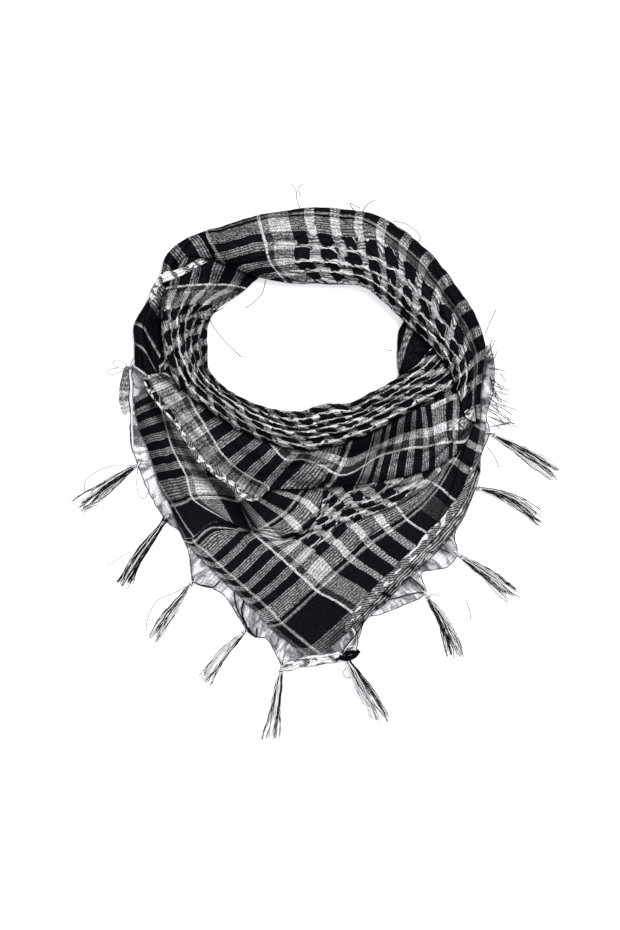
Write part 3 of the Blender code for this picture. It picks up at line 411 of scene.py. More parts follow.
            ((445, 462, 13), (445, 448, 16), (442, 427, 17), (441, 400, 11)),
            ((462, 448, 11), (464, 435, 13), (467, 414, 14), (469, 387, 9)),
            ((474, 424, 8), (474, 414, 9), (473, 400, 10), (471, 380, 8)),
        ),
    },
    {
        "name": "front_neck_roll",
        "drawn": (0.9, 1.0),
        "draw": (0.60, 0.66, 0.76),
        "axis": "p",
        "along": (36, 66, 88, 111, 136, 161, 182, 211, 242, 270, 300, 330, 361, 395, 427, 456, 483),
        "lean": (8, 10, 14, 24, 36, 46, 54, 58, 58, 58, 58, 58, 58, 58, 58, 54, 46),
        "across": (
            (258, 272, 287, 303, 320), (254, 270, 287, 304, 322), (245, 267, 288, 309, 330),
            (240, 266, 290, 314, 338), (238, 266, 292, 318, 344), (241, 268, 293, 318, 344),
            (246, 271, 295, 319, 344),
        ) + 10 * ((252, 275, 298, 321, 344),),
        "sides": (6.0, 8.0, 4.0, 4.0),
        "mesh": (330, 90),
        "pucker": 1.2,
        "rows": (
            ((184, 258, 8), (198, 259, 9), (214, 260, 9), (236, 266, 9), (260, 277, 8)),
            ((169, 284, 17), (187, 284, 23), (206, 285, 26), (226, 287, 23), (244, 291, 15)),
            ((161, 304, 21), (176, 304, 29), (190, 304, 31), (205, 305, 27), (219, 309, 17)),
            ((161, 326, 20), (172, 325, 29), (184, 324, 32), (197, 323, 29), (209, 323, 18)),
            ((164, 350, 18), (175, 348, 28), (186, 347, 32), (197, 346, 29), (208, 345, 18)),
            ((173, 376, 19), (184, 372, 29), (193, 369, 32), (201, 367, 29), (208, 366, 18)),
            ((186, 393, 21), (196, 388, 30), (204, 385, 33), (211, 382, 30), (217, 380, 18)),
            ((212, 413, 22), (219, 407, 31), (226, 401, 34), (232, 398, 30), (235, 394, 18)),
            ((238, 430, 22), (244, 424, 31), (249, 418, 34), (254, 411, 30), (258, 404, 18)),
            ((266, 442, 22), (270, 434, 31), (274, 426, 34), (277, 418, 30), (279, 410, 18)),
            ((300, 450, 22), (301, 441, 31), (301, 432, 34), (302, 422, 30), (302, 411, 18)),
            ((332, 446, 22), (330, 436, 31), (328, 426, 34), (325, 415, 30), (322, 404, 18)),
            ((362, 437, 22), (358, 427, 31), (355, 418, 34), (353, 410, 30), (350, 402, 18)),
            ((393, 421, 22), (388, 411, 30), (384, 404, 34), (380, 397, 30), (375, 390, 18)),
            ((421, 404, 21), (414, 395, 29), (408, 388, 33), (403, 382, 29), (398, 377, 18)),
            ((446, 392, 17), (438, 382, 23), (431, 375, 26), (425, 369, 23), (418, 364, 17)),
            ((466, 372, 8), (457, 364, 9), (449, 357, 10), (442, 351, 9), (435, 345, 9)),
        ),
    },
    {
        "name": "back_neck",
        "drawn": (0.0, 1.0),
        "draw": (0.62, 0.58, 0.76),
        "axis": "p",
        "along": (24, 42, 66, 88, 126, 158, 186, 213, 239, 267, 292, 318, 343, 369, 396),
        "lean": (-3, -8, -12, -14, -30, -34, -34, -32, -30, -30, -30, -28, -20, -14, -8),
        "tuck": (150, 190, (38, 57, 66, 88), (38, 59.5, 78.5, 88)),
        "pulled": ((0, 0, 0, 0, 0), (0, 0, 0, 0, 0), (0, 0, 2, 4, 0), (4, 4, 6, 15, 4), (0, 0, 4, 12, 10),
                   (0, 0, 2, 8, 8)) + 9 * ((0, 0, 0, 0, 0),),
        "lean_from": 0.3,
        "across": (
            (57, 70, 81, 88.5, 98), (53, 71, 86, 99, 109), (53, 72, 90.5, 106, 130), (51, 73, 90, 113, 142),
            (50, 72, 89, 113, 148), (47, 68, 88, 113, 148), (43, 62, 88, 114, 148), (40, 58, 88, 115, 148),
            (38, 57, 88, 116, 148), (38, 57, 89, 116, 148), (38, 57, 89, 116, 146), (38, 57, 88, 114, 142),
            (38, 55, 84, 108, 132), (38, 53, 76, 94, 112), (40, 48, 56, 64, 72),
        ),
        "sides": (8.0, 8.0, 4.0, 4.0),
        "mesh": (380, 90),
        "pucker": 1.3,
        "rows": (
            ((205, 231, 12), (207, 238, 15), (210, 246, 17), (213, 254, 17), (217, 262, 15)),
            ((226, 225, 17), (229, 235, 23), (232, 247, 26), (236, 259, 25), (240, 271, 22)),
            ((252, 217, 20), (255, 229, 27), (258, 244, 31), (262, 262, 29), (267, 279, 20)),
            ((282, 211, 21), (284, 226, 29), (287, 244, 33), (291, 265, 31), (294, 284, 19)),
            ((318, 208, 21), (319, 225, 29), (320, 244, 33), (321, 264, 31), (322, 284, 19)),
            ((352, 210, 21), (350, 226, 29), (348, 246, 33), (346, 267, 31), (344, 286, 19)),
            ((380, 217, 21), (375, 232, 29), (370, 252, 33), (366, 272, 31), (362, 287, 19)),
            ((407, 234, 21), (400, 247, 29), (392, 265, 33), (384, 284, 31), (378, 297, 19)),
            ((430, 253, 21), (421, 266, 29), (411, 282, 33), (401, 299, 31), (394, 312, 20)),
            ((452, 280, 20), (441, 290, 28), (430, 303, 32), (419, 316, 30), (410, 327, 22)),
            ((470, 307, 19), (459, 315, 26), (448, 325, 29), (437, 335, 27), (428, 343, 22)),
            ((483, 333, 17), (472, 340, 23), (461, 347, 26), (450, 354, 24), (441, 360, 22)),
            ((485, 358, 15), (478, 362, 20), (470, 366, 23), (460, 370, 22), (451, 374, 20)),
            ((482, 384, 12), (477, 386, 17), (472, 387, 20), (464, 388, 20), (456, 390, 18)),
            ((479, 424, 7), (476, 423, 9), (475, 422, 10), (470, 420, 11), (465, 417, 11)),
        ),
    },
)
# Hems and folded edges that are rolled to a narrow strip: the middle of the strip with its half width at
# each place (x, y, z, half width), how high it stands in mm, and where its white floats lie.
FLOATS_ON_HALF, FLOATS_ALL_OVER, FLOATS_IN_BLOCKS = range(3)
ROLL_STEP = 100.0  # added to a strip's place across once for floats all over and twice for blocks
ROLLED = (
    ("rolled_hem_right", (
        (346, 631, 5, 7), (360, 616, 5.5, 8), (376, 599, 6, 8.5), (393, 581, 6.5, 8.5), (409, 564, 7, 8.5),
        (424, 548, 8, 8.5), (436, 536, 8.5, 8.5), (447, 524, 9, 8.5), (457, 511, 9.5, 8),
        (465, 498, 9.5, 7.5), (471, 483, 9, 6), (477, 463, 8.5, 4.5),
    ), 2.6, FLOATS_ON_HALF),
    ("rolled_hem_tip", (
        (280, 668, 3.2, 4), (290, 666, 3.4, 5), (302, 662.5, 3.6, 5), (318, 660, 3.6, 5),
        (332, 658, 3.8, 5), (345, 655, 4.0, 5),
    ), 2.2, FLOATS_ALL_OVER),
    ("folded_edge_shoulder", (
        (150, 303, 20, 3), (156, 289, 22, 3.5), (164, 279, 24, 4), (176, 275, 24, 4), (188, 270, 23, 3.6),
        (198, 264, 20, 3.2), (208, 262, 17, 2.6),
    ), 1.8, FLOATS_IN_BLOCKS),
    ("folded_edge_cowl", (
        (143, 378, 11, 1.2), (149, 391, 12, 1.2), (160, 406, 13, 1.2), (171, 418, 14, 1.4),
        (180, 429, 14, 1.8), (189, 442, 15, 2.8), (199, 458, 15, 3.4), (212, 469, 16, 3.6),
        (225, 479, 16, 3.6), (238, 490, 16, 3.8), (249, 498, 16, 3.0), (258, 499, 16, 1.4),
        (265, 491, 17, 1.0),
    ), 1.4, FLOATS_IN_BLOCKS),
)
RUFFLES = {"front_neck_roll": 2.2, "back_neck": 2.2}  # how far a stretch's long edges wander, in squares
USUAL_RUFFLE = 1.0
LOWEST_EDGE = 1.4  # mm, the height a rounded edge comes down to where EDGE_HEIGHT has no other
EDGE_HEIGHT = {  # the lowest that a stretch's rounded edge comes, mm
    "back_neck": 5.0,
    "front_neck_roll": 4.5,
    "left_shoulder": 3.5,
    "upper_cowl": 3.5,
    "lower_cowl": 3.5,
    "inner_right_layer": 2.5,
}

# Folds: from (along, across) to (along, across), each 0 to 1 of the stretch, half width in
# squares and height in mm; below zero is a valley.
FOLDS = {
    "front_neck_roll": (
        ((0.08, 0.24), (0.50, 0.28), 3.0, -5.0),
        ((0.12, 0.44), (0.46, 0.50), 2.6, -4.6),
        ((0.05, 0.66), (0.40, 0.70), 2.6, -4.6),
        ((0.40, 0.52), (0.96, 0.46), 2.8, -5.0),
        ((0.46, 0.74), (0.92, 0.68), 2.6, -4.6),
        ((0.56, 0.24), (0.98, 0.26), 2.8, -4.6),
        ((0.22, 0.86), (0.45, 0.84), 2.4, -3.6),
    ),
    "back_neck": (
        ((0.22, 0.76), (0.55, 0.72), 2.6, -4.4),
        ((0.50, 0.86), (0.84, 0.74), 2.6, -4.2),
        ((0.42, 0.30), (1.00, 0.34), 3.0, -5.0),
        ((0.30, 0.90), (0.48, 0.88), 2.4, -3.4),
        ((0.70, 0.58), (0.99, 0.62), 2.8, -4.4),
        ((0.10, 0.46), (0.34, 0.52), 5.0, -1.6),
    ),
    "upper_cowl": (
        ((0.30, 0.42), (0.62, 0.66), 4.0, -3.4),
        ((0.55, 0.55), (0.72, 0.70), 5.0, 2.4),
        ((0.66, 0.42), (0.92, 0.60), 4.0, -3.0),
        ((0.78, 0.20), (0.97, 0.50), 3.5, -3.0),
        ((0.06, 0.55), (0.30, 0.62), 4.0, -2.2),
        ((0.30, 0.50), (0.52, 0.20), 5.0, -1.8),
    ),
    "lower_cowl": (
        ((0.20, 0.30), (0.70, 0.34), 3.0, -3.6),
        ((0.45, 0.55), (0.92, 0.50), 3.0, -3.6),
        ((0.05, 0.50), (0.32, 0.72), 3.0, -3.0),
    ),
    "left_shoulder": (
        ((0.06, 0.10), (0.34, 0.55), 3.0, -3.6),
        ((0.30, 0.20), (0.52, 0.40), 3.0, -3.0),
        ((0.55, 0.18), (0.80, 0.42), 3.0, -2.8),
    ),
    "left_panel": (
        ((0.05, 0.62), (0.60, 0.86), 4.0, -2.4),
        ((0.10, 0.92), (0.50, 0.94), 4.0, 1.8),
        ((0.20, 0.30), (0.90, 0.34), 5.0, -1.2),
    ),
    "front_panel": (
        ((0.05, 0.30), (0.12, 0.90), 4.0, 2.0),
        ((0.62, 0.38), (0.98, 0.34), 4.0, 2.2),
        ((0.30, 0.44), (0.46, 0.62), 5.0, 1.6),
        ((0.10, 0.60), (0.30, 0.98), 4.0, -2.4),
        ((0.28, 0.52), (0.36, 0.98), 3.5, -2.4),
    ),
}

# Gathers that run along a stretch: length and width of one in squares, height in mm, drift across for each
# square along, and a seed.
GATHERS = {
    "front_neck_roll": ((64.0, 12.0, 6.0, 0.04, 1), (28.0, 7.0, 2.6, -0.06, 2)),
    "back_neck": ((80.0, 17.0, 4.0, -0.04, 3), (30.0, 8.0, 2.0, 0.05, 4)),
    "upper_cowl": ((60.0, 18.0, 1.6, 0.05, 5),),
    "lower_cowl": ((50.0, 10.0, 2.4, 0.06, 6), (26.0, 6.0, 1.2, 0.0, 7)),
    "left_shoulder": ((40.0, 10.0, 2.6, 0.05, 8),),
    "left_panel": ((60.0, 20.0, 1.2, 0.0, 9),),
    "front_panel": ((70.0, 30.0, 1.0, 0.1, 10),),
    "inner_right_layer": ((40.0, 10.0, 2.4, 0.1, 11),),
    "under_hem_left": ((9.0, 60.0, 1.0, 0.0, 12),),
    "under_hem_tip": ((9.0, 60.0, 1.0, 0.0, 13),),
    "under_hem_right": ((9.0, 60.0, 1.0, 0.0, 14),),
    "side_hem_right": ((9.0, 60.0, 0.8, 0.0, 15),),
}

# Painted shade in the hollows between the folds, where they hold the light off: from one place on the
# drawing grid to another, half width in squares, and how dark the shade is, from 0 to 1.
PAINTED_HOLLOW_SHADE = {
    "under_hem_left": (
        ((134, 364), (146, 396), 8, 0.95), ((258, 600), (290, 640), 9, 0.6),
        ((160, 508), (176, 530), 7, 0.8),
    ),
    "under_hem_tip": (
        ((286, 652), (302, 648), 9, 0.7), ((302, 652), (336, 650), 5, 0.8),
        ((334, 640), (345, 654), 8, 0.9),
    ),
    "under_hem_right": (
        ((336, 636), (352, 626), 9, 0.9), ((438, 542), (456, 553), 9, 0.8),
    ),
    "left_panel": (
        ((152, 404), (175, 438), 8, 1.0), ((175, 438), (197, 469), 8, 1.0),
        ((197, 469), (222, 490), 9, 1.0), ((140, 422), (172, 505), 11, 0.7),
        ((222, 490), (246, 504), 10, 1.0), ((148, 384), (158, 396), 7, 1.0),
        ((230, 498), (252, 528), 9, 0.95), ((160, 500), (176, 524), 8, 0.6),
        ((170, 466), (186, 500), 9, 0.5),
    ),
    "left_shoulder": (
        ((164, 344), (168, 378), 4, 0.4),
    ),
    "upper_cowl": (
        ((190, 378), (254, 428), 7, 0.9), ((254, 428), (300, 446), 5, 0.8),
        ((300, 484), (432, 474), 5, 0.8), ((316, 451), (350, 451), 5, 0.6),
        ((350, 451), (412, 428), 10, 0.85), ((366, 450), (398, 448), 6, 0.9),
        ((204, 452), (262, 492), 8, 0.8), ((160, 378), (194, 397), 6, 0.6),
        ((250, 470), (300, 480), 6, 0.6), ((160, 398), (236, 476), 4, 0.7),
        ((170, 396), (190, 416), 6, 0.6), ((236, 446), (262, 462), 5, 0.6),
        ((290, 466), (324, 454), 6, 0.8),
    ),
    "lower_cowl": (
        ((300, 530), (330, 534), 4, 0.8), ((310, 488), (366, 484), 8, 0.9),
        ((374, 496), (420, 474), 3, 0.5),
    ),
    "front_panel": (
        ((283, 539), (304, 531), 2.5, 0.95), ((304, 531), (392, 508), 3.5, 0.8),
        ((232, 500), (256, 512), 7, 0.7), ((250, 490), (300, 484), 6, 0.95),
        ((300, 490), (330, 482), 5, 0.9), ((240, 590), (360, 600), 80, 0.18),
        ((446, 470), (466, 462), 6, 0.5), ((262, 500), (284, 508), 8, 0.5),
        ((330, 644), (352, 622), 5, 0.7), ((236, 496), (254, 530), 8, 0.95),
        ((430, 502), (450, 530), 9, 0.3),
    ),
    "front_neck_roll": (
        ((194, 306), (204, 350), 11, 0.6), ((170, 300), (236, 296), 8, 0.5),
        ((216, 276), (254, 276), 8, 0.8), ((216, 292), (236, 290), 7, 0.6),
        ((356, 412), (404, 392), 4, 0.5), ((186, 330), (206, 372), 6, 0.6),
        ((352, 404), (402, 378), 5, 0.6), ((206, 392), (262, 434), 4, 0.5),
        ((164, 368), (184, 392), 5, 0.6),
    ),
    "back_neck": (
        ((392, 246), (419, 268), 3.5, 0.8), ((419, 268), (445, 295), 3.5, 0.9),
        ((445, 295), (467, 322), 4, 0.9), ((467, 322), (477, 350), 4, 0.9),
        ((477, 350), (474, 388), 4, 0.5), ((300, 282), (350, 286), 3, 0.6),
        ((236, 274), (268, 284), 5, 0.9), ((206, 258), (236, 268), 4, 0.8),
    ),
    "inner_right_layer": (
        ((424, 322), (436, 366), 10, 0.9), ((398, 330), (402, 350), 5, 0.5),
    ),
}

# Tassels: the hem's corner that each hangs from, its knot, where its strands end, how wide they have spread
# there, how much of it is dark, and how far it bows sideways.
TASSELS = (
    ((138.0, 464.0), (134.0, 467.0), (75.0, 511.0), 20.0, 0.62, 0.0),
    ((166.0, 518.0), (162.5, 523.0), (120.0, 588.0), 15.0, 1.0, 1.0),
    ((194.5, 580.0), (190.5, 585.0), (150.0, 642.0), 14.0, 0.40, 0.0),
    ((246.5, 628.5), (243.0, 633.5), (201.0, 683.0), 17.0, 0.35, 2.0),
    ((282.5, 666.0), (281.0, 672.0), (270.0, 747.0), 18.0, 0.75, 0.0),
    ((343.5, 654.0), (346.5, 659.0), (384.0, 725.0), 22.0, 0.50, 0.0),
    ((424.5, 593.0), (428.0, 598.0), (460.0, 661.0), 19.0, 0.65, -3.0),
    ((457.0, 553.5), (461.5, 557.0), (519.0, 599.0), 19.0, 0.40, -1.0),
    ((474.0, 486.5), (479.0, 488.5), (543.0, 522.0), 17.0, 0.75, -5.0),
    ((489.0, 433.0), (494.0, 435.5), (562.0, 478.0), 21.0, 0.50, -2.0),
)
CLUMPS = 9
STRANDS_IN_CLUMP = 3
STRAND_RADIUS = 0.54 * MM
HEM_HEIGHT = 2.2 * MM
KNOT_HEIGHT = 2.6 * MM
KNOT_SIDES = 6
NECK_STRANDS = (0.95, 0.02, 0.85, 0.4)  # how white each strand between the hem and a knot is
KNOT_TURNS = (0.9, 0.05, 0.7)  # how white each turn of a knot is
CORD_RADIUS = 0.5 * MM  # the dark thread along a hem's edge
DARK_CORD, LIGHT_CORD = 0.02, 0.85
LOOSE_RADIUS = 0.42 * MM
THIN_RADIUS = 0.36 * MM  # the light thread along a hem's edge, and the frays
TWIST = 2.4 * MM  # one turn of a thread's own twist
FRAY_SWING = 3  # squares to either side for a fray's middle and its end

# Loose threads: places on the drawing grid, the height of the first and the last in mm, and how white each
# thread is.
LOOSE_THREADS = (
    (((129, 369), (122, 361), (114, 361), (116, 367), (129, 369)), 4, 3, 0.35),
    (((129, 369), (118, 368), (107, 371), (110, 375), (120, 372), (129, 369)), 4, 2, 0.35),
    (((129, 369), (137, 361), (139, 353), (133, 360), (129, 369)), 4, 6, 0.2),
    (((129, 370), (130, 384), (129, 398), (131, 416)), 4, 2, 0.0),
    (((130, 372), (124, 384), (122, 396), (126, 412)), 4, 2, 0.5),
    (((136, 466), (118, 465), (100, 470), (86, 480), (85, 493)), 3, 1, 0.25),
    (((138, 467), (137, 485), (140, 497), (146, 497), (149, 486), (143, 472)), 3, 1, 0.25),
    (((134, 468), (112, 476), (92, 492), (84, 508), (98, 505)), 3, 1, 0.4),
    (((192, 583), (176, 592), (157, 601), (148, 618), (146, 631)), 3, 1, 0.3),
    (((107, 566), (118, 559), (129, 552)), 1, 1, 0.4),
    (((191, 549), (190, 562), (192, 580)), 2, 2, 0.2),
    (((244, 604), (243, 622), (247, 631)), 2, 2, 0.2),
    (((291, 184), (296, 191), (297, 201), (300, 210)), 2, 18, 0.0),
    (((304, 184), (298, 189), (301, 197)), 6, 14, 0.0),
    (((355, 213), (350, 204), (360, 209)), 10, 14, 0.0),
    (((375, 200), (366, 206), (362, 214)), 4, 16, 0.0),
    (((393, 222), (404, 224), (414, 230), (420, 238), (416, 246)), 16, 12, 0.1),
    (((398, 228), (410, 236), (414, 247)), 16, 14, 0.1),
    (((224, 308), (210, 318), (222, 338), (241, 357)), 12, 1, 0.0),
    (((266, 280), (262, 294), (252, 304), (245, 308)), 14, 1, 0.0),
    (((205, 293), (202, 300), (208, 303)), 16, 10, 0.2),
    (((496, 310), (490, 322), (485, 334)), 1, 10, 0.0),
    (((392, 351), (387, 350), (384, 350)), 8, 3, 0.0),
    (((499, 467), (494, 456), (487, 447)), 1, 3, 0.1),
    (((471, 620), (470, 612), (466, 600)), 1, 1, 0.3),
    (((346, 668), (343, 674), (349, 678), (352, 672)), 2, 1, 0.1),
    (((440, 596), (432, 594), (428, 597)), 2, 2, 0.2),
)
# The ends of the rolled hems, curled up beside the tip's knots, and thicker threads beside other knots:
# places, the first and last height and the radius in mm, and how white.
KNOT_CURLS = (
    (((339, 657), (346, 658.5), (354, 656), (359, 650)), 6, 5, 2.6, 0.0),
    (((345, 655), (351, 652), (357, 653)), 8, 8, 2.4, 0.0),
    (((344, 650), (350, 643), (355, 634), (352, 628)), 7, 6, 1.0, 0.9),
    (((347, 647), (355, 645), (357, 637), (353, 631)), 6, 6, 0.8, 0.7),
    (((362, 613), (363, 622), (356, 634), (347, 645), (342, 653)), 10, 7, 0.7, 0.0),
    (((352, 620), (356, 630), (358, 641), (356, 649)), 9, 6, 0.6, 0.03),
    (((336, 660), (342, 656), (347, 650)), 6, 7, 0.9, 0.0),
    (((244, 600), (242, 612), (247, 626), (256, 637), (257, 628)), 3, 3, 0.8, 0.0),
    (((234, 592), (237, 608), (245, 624), (250, 633)), 3, 3, 0.7, 0.0),
    (((194, 582), (203, 586), (213, 587), (220, 581)), 3, 3, 0.7, 0.0),
    (((452, 540), (444, 541), (440, 548), (450, 553)), 4, 4, 0.6, 0.02),
    (((424, 590), (414, 580), (404, 574), (396, 576)), 4, 4, 0.7, 0.0),
    (((424, 592), (410, 594), (396, 598), (386, 600)), 3, 3, 0.7, 0.02),
    (((130, 370), (131, 386), (132, 404), (132, 424), (133, 448)), 6, 4, 0.9, 0.95),
    (((167, 518), (160, 527), (146, 549), (133, 569), (122, 586)), 4, 1, 1.0, 0.03),
    (((168, 520), (163, 526), (150, 547), (138, 566), (128, 582)), 4, 1, 1.0, 0.0),
    (((164, 517), (158, 528), (143, 547), (129, 567), (117, 582)), 4, 1, 0.9, 0.0),
)
# The frayed side hem: where each thread leaves it and where it ends.
FRAYS = (
    ((487, 362), (497, 352)), ((489, 368), (502, 369)), ((490, 374), (505, 380)), ((490, 379), (503, 389)),
    ((490, 384), (509, 392)), ((489, 389), (511, 399)), ((489, 394), (506, 404)), ((488, 399), (514, 411)),
    ((488, 403), (510, 417)), ((487, 408), (516, 422)), ((488, 411), (506, 425)), ((488, 416), (518, 426)),
    ((489, 421), (503, 431)), ((490, 427), (508, 423)), ((489, 398), (501, 412)), ((490, 388), (499, 401)),
    ((487, 355), (494, 341)), ((490, 376), (498, 396)),
)


# ---------------------------------------------------------------- plan, curves and noise
def plan(x, y):
    """Metres from a place on the drawing grid."""
    return (np.asarray(x) - PLAN_CENTRE[0]) * SQUARE, (PLAN_CENTRE[1] - np.asarray(y)) * SQUARE


def smooth_through(rows, count):
    """A Catmull-Rom spline through the rows, read at evenly spaced steps."""
    rows = np.asarray(rows, float)
    last = len(rows) - 1
    padded = np.concatenate([[2 * rows[0] - rows[1]], rows, [2 * rows[last] - rows[last - 1]]])
    at = np.linspace(0, last, count)
    start = np.minimum(at.astype(int), last - 1)
    t = (at - start).reshape((-1,) + (1,) * (rows.ndim - 1))
    a, b, c, d = (padded[start + k] for k in range(4))
    return 0.5 * (2 * b + (c - a) * t + (2 * a - 5 * b + 4 * c - d) * t**2 + (3 * b - a - 3 * c + d) * t**3)


def noise(x, y, seed):
    """Smooth noise from 0 to 1 on a lattice of 1."""
    x, y = np.broadcast_arrays(np.asarray(x, float), np.asarray(y, float))
    i, j = np.floor(x).astype(np.int64), np.floor(y).astype(np.int64)
    fx, fy = x - i, y - j
    fx, fy = fx * fx * (3 - 2 * fx), fy * fy * (3 - 2 * fy)

    def at(a, b):
        n = (a * 374761393 + b * 668265263 + seed * 144269504) & 0xFFFFFFFF
        n = ((n ^ (n >> 13)) * 1274126177) & 0xFFFFFFFF
        return ((n ^ (n >> 16)) & 0xFFFF) / 65535.0

    low = at(i, j) * (1 - fx) + at(i + 1, j) * fx
    high = at(i, j + 1) * (1 - fx) + at(i + 1, j + 1) * fx
    return low * (1 - fy) + high * fy


def ramp(value, width):
    """0 up to zero and 1 from the width on, with a straight rise between."""
    return np.clip(value / width, 0, 1)


def swell(value, width):
    """A round rise and fall over the width."""
    return np.sin(np.pi * ramp(value, width)) ** 0.7


def rounded(distance, width):
    """0 at an edge and 1 from a width inside it, as a quarter round."""
    near = ramp(distance, width)
    return np.sqrt(np.clip(1 - (1 - near) ** 2, 0, 1))


def unit(vectors):
    return vectors / np.maximum(np.linalg.norm(vectors, axis=-1, keepdims=True), 1e-12)


def lengths(points, axis):
    """Distance of each point from the net's first row or column, measured along the cloth."""
    steps = np.linalg.norm(np.diff(points, axis=axis), axis=-1)
    first = np.zeros_like(np.take(steps, [0], axis))
    return np.cumsum(np.concatenate([first, steps], axis), axis)


def plan_lengths(points, axis, flip=False):
    """The same as seen from above, and with flip from the last row or column."""
    if flip:
        points = np.flip(points, axis)
    far = lengths(points[..., :2], axis)
    return np.flip(far, axis) if flip else far


# ---------------------------------------------------------------- the form of a stretch
def cloth_net(stretch):
    """The stretch's control net: [row, column, (x, y, z, p, q)]."""
    rows = np.asarray(stretch["rows"], float)
    share = np.linspace(0, 1, rows.shape[1])[None, :]
    share = np.maximum(0, share - stretch["lean_from"]) / (1 - stretch["lean_from"])
    lean = np.broadcast_to(np.asarray(stretch["lean"], float), len(rows))[:, None]
    along = np.asarray(stretch["along"], float)[:, None] + lean * share
    along = along + np.asarray(stretch["pulled"], float)
    across = np.asarray(stretch["across"], float) + 0 * along
    pair = (along, across) if stretch["axis"] == "p" else (across, along)
    return np.concatenate([rows, np.stack(pair, -1)], -1)


def fine_net(stretch):
    """The stretch's smooth points, in metres, and the place of each on the cloth."""
    along, across = stretch["mesh"]
    net = smooth_through(cloth_net(stretch), along)
    net = smooth_through(net.transpose(1, 0, 2), across).transpose(1, 0, 2)
    x, y = plan(net[..., 0], net[..., 1])
    return np.stack([x, y, net[..., 2] * MM], -1), net[..., 3:]


def ruffle_edges(points, amount, seed):
    """Lets the two long edges wander a little, as loose cloth does."""
    s = plan_lengths(points, 0).mean(axis=1) / SQUARE
    v = np.linspace(0, 1, points.shape[1])[None, :]
    side = unit(points[:, -1, :2] - points[:, 0, :2])
    for edge, weight in ((0, (1 - v) ** 3), (1, v**3)):
        wave = noise(s / 17, 0.5, seed + edge) + 0.6 * noise(s / 6, 0.5, seed + 7 + edge) - 0.8
        shift = amount * SQUARE * wave[:, None] * weight
        points[..., :2] += side[:, None, :] * shift[..., None]
    return points


def add_folds(points, folds):
    """Raises a soft ridge, or sinks a sharp valley, along each fold's line across the net."""
    along, across = points.shape[:2]
    u = np.linspace(0, 1, along)[:, None]
    v = np.linspace(0, 1, across)[None, :]
    width_of_row = plan_lengths(points, 1)[:, -1][:, None] / SQUARE
    for (u0, v0), (u1, v1), half_width, height in folds:
        t = ramp(u - u0, u1 - u0)
        ends = np.sin(np.pi * np.clip(t, 0.001, 0.999)) ** 0.5 * ((u > u0) & (u < u1))
        bend = 0.05 * np.sin(9 * u + 40 * v0)
        off = (v - (v0 + (v1 - v0) * t + bend)) * width_of_row
        shape = np.exp(-((off / half_width) ** 2)) if height > 0 else np.exp(-np.abs(off / half_width))
        points[..., 2] += height * MM * ends * shape
    return points


def add_gathers(points, gathers):
    """Long round pleats with sharp valleys between them along the stretch, with no two alike."""
    s = (plan_lengths(points, 0) / SQUARE).mean(axis=1, keepdims=True)
    t = plan_lengths(points, 1) / SQUARE
    for length, width, height, drift, seed in gathers:
        u = s / length
        v = (t + drift * s) / width + 1.4 * noise(s / (0.6 * length), t / (3 * width), seed + 50)
        pleat = np.abs(2 * noise(u, v, seed) - 1) ** 0.6
        points[..., 2] += height * MM * (pleat - 0.55)
    return points


# ---------------------------------------------------------------- the places on the cloth
def slide_along_cloth(points, smooth, cloth):
    """The cloth's places, moved so that steep stretches take up as much cloth as they are long."""
    longer = lengths(points, 1)
    plain = lengths(smooth, 1)
    total = longer[:, -1:] / plain[:, -1:]
    share = longer / total
    moved = np.empty_like(cloth)
    for i in range(len(points)):
        for k in (0, 1):
            moved[i, :, k] = np.interp(share[i], plain[i], cloth[i, :, k])
    return moved


def tuck_in(cloth, tuck):
    """Takes the cloth between two places q down into a tuck, more and more from one p to another."""
    if tuck is None:
        return cloth
    start, whole, before, after = tuck
    p, q = cloth[..., 0], cloth[..., 1]
    share = ramp(p - start, whole - start)
    inside = (q > before[0]) & (q < before[-1])
    return np.stack([p, q + share * (np.interp(q, before, after) - q) * inside], -1)


def drawn_in(value, start, period, black, wanted):
    """Lets the black part of each check lie over the wanted share of it, and the white over the rest."""
    phase = (value - start) / period
    whole = np.floor(phase)
    phase = phase - whole
    share = black / period
    in_white = share + (phase - wanted) * (1 - share) / (1 - wanted)
    return start + (whole + np.where(phase < wanted, phase * share / wanted, in_white)) * period


def draw_cloth_in(cloth, kind, draw):
    """Gives the black part of each check in the fields its stated share."""
    along_p, outer, inner = draw
    across = np.linspace(0, 1, cloth.shape[1])[None, :]
    p, q = cloth[..., 0], cloth[..., 1]
    stop, again = BANDS[kind]
    low = drawn_in(p, FIELD_P, PERIOD_P, BLACK_P, along_p)
    high = drawn_in(p, again, PERIOD_P, BLACK_P, along_p)
    new_p = np.where(p > again, high, np.where((p > FIELD_P) & (p < stop), low, p))
    woven = BLACK_Q / PERIOD_Q
    in_check = ramp(p - FIELD_P + 8, 16)
    wanted = woven + 0.04 + (outer + (inner - outer) * across - woven - 0.04) * in_check
    first = drawn_in(q, FIRST_FIELD_Q[0], PERIOD_Q, BLACK_Q, wanted)
    second = drawn_in(q, SECOND_FIELD_Q, PERIOD_Q, BLACK_Q, wanted)
    in_first = (q > FIRST_FIELD_Q[0]) & (q < WHOLE_CHECKS_Q)
    new_q = np.where(q > SECOND_FIELD_Q, second, np.where(in_first, first, q))
    return np.stack([new_p, new_q], -1)


def drawn_together(outer, inner, shape):
    """How tightly the floats draw the cloth together at each point of a net, from 0 to 1."""
    across = np.linspace(0, 1, shape[1])[None, :]
    return np.broadcast_to(outer + (inner - outer) * ramp(across - 0.30, 0.35), shape)


